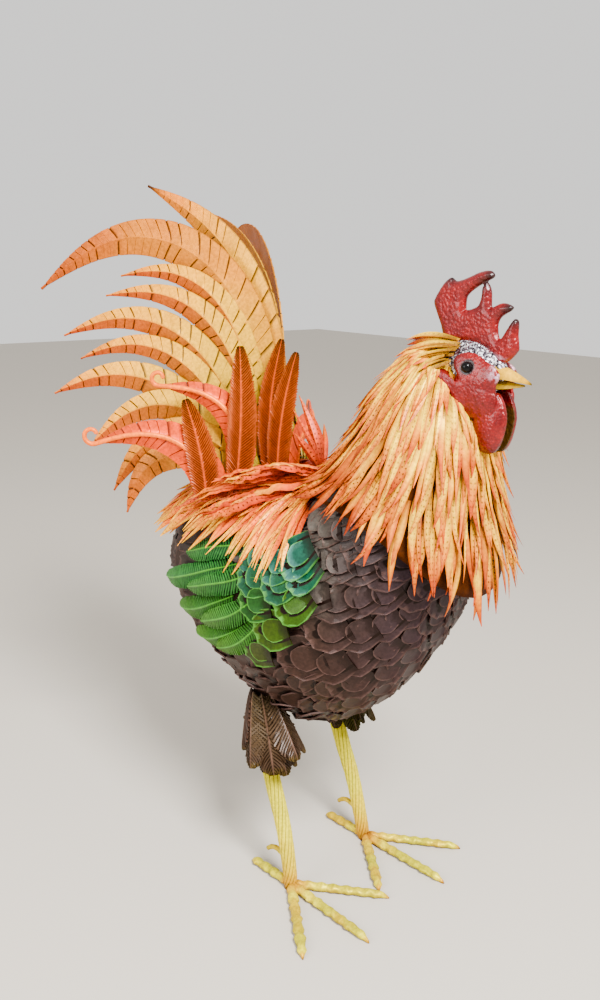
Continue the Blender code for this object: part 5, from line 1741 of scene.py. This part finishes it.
for side, word in ((-1.0, "_right"), (1.0, "_left")):
    piece = fuse([plateForm(face["cheek"], face["cheekForm"], side),
                  plateForm(face["wattle"], face["wattleForm"], side)], "face_plate" + word, face["voxel"], 3)
    hammerMesh(piece, 0.0040, 0.0007)
    paintMesh(piece,
              lambda p: max(0.7 * max(0.0, 1.0 - (p.z - 0.788) / 0.012),
                            min(1.0, max(0.0, 1.6 - abs(math.hypot(p.y + 0.250, p.z - 0.907) - 0.0085) / 0.0022))),
              lambda p: max(
                  1.2 * max(0.0, 1.0 - math.hypot(p.y + 0.296, p.z - 0.903) / 0.017),
                  1.6 * max(0.0, 1.0 - math.hypot(p.y + 0.201, p.z - 0.887) / 0.013)))
    piece.data.shade_smooth()
    handIn(piece, "red_paint", looks["face"], "face" + word)

    sheets = Sheets()
    rows, sides = 16, 28
    verts, faces = [], []
    centre = Vector((side * 0.0325, -0.2500, 0.907))
    for k in range(1, rows):
        a = math.pi * k / rows
        for i in range(sides):
            b = turn * i / sides
            verts.append(centre + Vector((
                side * math.cos(a), math.sin(a) * math.cos(b), math.sin(a) * math.sin(b))) * 0.0078)
    for k in range(rows - 2):
        for i in range(sides):
            a = k * sides + i
            b = k * sides + (i + 1) % sides
            faces.append((a, b, b + sides, a + sides))
    for row, way in ((0, 1.0), (rows - 2, -1.0)):
        verts.append(centre + Vector((side * way * 0.0078, 0.0, 0.0)))
        for i in range(sides):
            faces.append((row * sides + i, row * sides + (i + 1) % sides, len(verts) - 1))
    piece = makePiece("eye_ball" + word, verts, faces)
    handIn(piece, "eye_gloss", looks["eye"], "eye" + word)

# the crumpled bare metal between the comb and the face
skull = {"centre": (0.0, -0.236, 0.895), "radii": (0.0245, 0.049, 0.042), "voxel": 0.0014}
band = ((-0.200, 0.930), (-0.222, 0.938), (-0.248, 0.936), (-0.270, 0.926), (-0.284, 0.913), (-0.288, 0.900))


def ballForm(centre, radii, rows=22, sides=32):
    verts, faces = [], []
    for k in range(rows + 1):
        a = math.pi * k / rows
        for i in range(sides):
            b = turn * i / sides
            verts.append(Vector((
                centre[0] + radii[0] * math.sin(a) * math.cos(b),
                centre[1] + radii[1] * math.sin(a) * math.sin(b),
                centre[2] + radii[2] * math.cos(a))))
    for k in range(rows):
        for i in range(sides):
            a = k * sides + i
            b = k * sides + (i + 1) % sides
            faces.append((a, b, b + sides, a + sides))
    return verts, faces


parts = [ballForm(skull["centre"], skull["radii"])]
for k in range(36):
    y, z = smoothValue(band, 5.0 * k / 35)
    wide = 0.0115 - 0.003 * k / 35
    parts.append(ballForm((0.0, y, z - 0.004), (wide, 0.0075, 0.0075), 10, 14))
piece = fuse(parts, "skull_crumpled", skull["voxel"], 2)
for vert in piece.data.vertices:
    fold = noise.ridged_multi_fractal(vert.co * 150.0, 0.9, 2.1, 3.0, 1.0, 2.0)
    vert.co += vert.normal * (0.0011 * (fold - 1.2))
piece.data.shade_smooth()
handIn(piece, "silver_paint", looks["silver"], "skull")

for name, top, bottom, half, tipY, tipZ, shade in (
    ("beak_upper", 0.914, 0.8935, 0.0165, -0.3335, 0.890, 0.0),
    ("beak_lower", 0.8932, 0.8775, 0.0132, -0.3235, 0.8868, 0.75),
):
    verts, faces, along, tint = [], [], [], []
    rows = 24
    for k in range(rows + 1):
        f = k / rows
        y = blend(-0.264, tipY, f)
        upper = blend(top, tipZ + 0.0015, f ** (1.6 if shade == 0.0 else 1.0))
        lower = blend(bottom, tipZ - 0.0010, f ** 2.0)
        wide = half * (1.0 - f ** 1.5) + 0.0010
        profile = ((0.0, 1.0), (0.34, 0.97), (0.62, 0.78), (0.86, 0.42), (1.0, 0.06), (0.55, 0.0), (0.0, 0.0))
        ring = list(profile) + [(-x, z) for x, z in profile[-2:0:-1]]
        for x, z in ring:
            verts.append(Vector((x * wide, y, blend(lower, upper, z))))
            along.append(f)
            # painted shade on the lower beak and on the underside of each half
            tint.append(shade if z > 0.3 else max(shade, 0.35))
    count = len(ring)
    for k in range(rows):
        for i in range(count):
            a = k * count + i
            b = k * count + (i + 1) % count
            faces.append((a, b, b + count, a + count))
    faces.append(tuple(range(count)))
    faces.append(tuple(range(rows * count, (rows + 1) * count)))
    piece = makePiece(name + "_plate", verts, faces, {"along": along, "tint": tint}, sharp=32)
    handIn(piece, "yellow_paint", looks["beak"], name)
print("head made")


# ---------- floor, lights and camera ----------
def plainMaterial(name, colour, rough):
    material = bpy.data.materials.new(name)
    material.use_nodes = True
    shader = material.node_tree.nodes["Principled BSDF"]
    shader.inputs["Base Color"].default_value = colour
    shader.inputs["Roughness"].default_value = rough
    return material


floorMesh = bpy.data.meshes.new("floor")
floorMesh.from_pydata([(-9, -9, 0), (9, -9, 0), (9, 9, 0), (-9, 9, 0)], [], [(0, 1, 2, 3)])
floor = bpy.data.objects.new("floor", floorMesh)
bpy.context.scene.collection.objects.link(floor)
floorMesh.materials.append(plainMaterial("floor_pale", (0.50, 0.45, 0.38, 1.0), 0.7))

world = bpy.data.worlds.new("studio")
world.use_nodes = True
world.node_tree.nodes["Background"].inputs["Color"].default_value = (1.0, 0.985, 0.96, 1.0)
world.node_tree.nodes["Background"].inputs["Strength"].default_value = 1.15
bpy.context.scene.world = world


def areaLight(name, place, aim, size, power, colour=(1.0, 1.0, 1.0)):
    lamp = bpy.data.lights.new(name, "AREA")
    lamp.size = size
    lamp.energy = power
    lamp.color = colour
    thing = bpy.data.objects.new(name, lamp)
    thing.location = Vector(place)
    thing.rotation_euler = (Vector(aim) - Vector(place)).to_track_quat("-Z", "Y").to_euler()
    bpy.context.scene.collection.objects.link(thing)


areaLight("key", (-0.9, -2.4, 3.0), (0.0, 0.0, 0.6), 1.1, 480.0)
areaLight("side", (-2.8, 0.4, 1.6), (0.0, 0.0, 0.6), 1.6, 90.0)

for helper in (section, pressed):
    bpy.data.objects.remove(helper, do_unlink=True)

view = bpy.data.cameras.new("camera")
view.lens = 34.6
view.sensor_width = 36.0
camera = bpy.data.objects.new("camera", view)
camera.location = Vector((-1.108, -1.043, 1.05)) + feetShift
camera.rotation_euler = [math.radians(a) for a in (75.6885, -1.4146, -43.6392)]
bpy.context.scene.collection.objects.link(camera)
bpy.context.scene.camera = camera
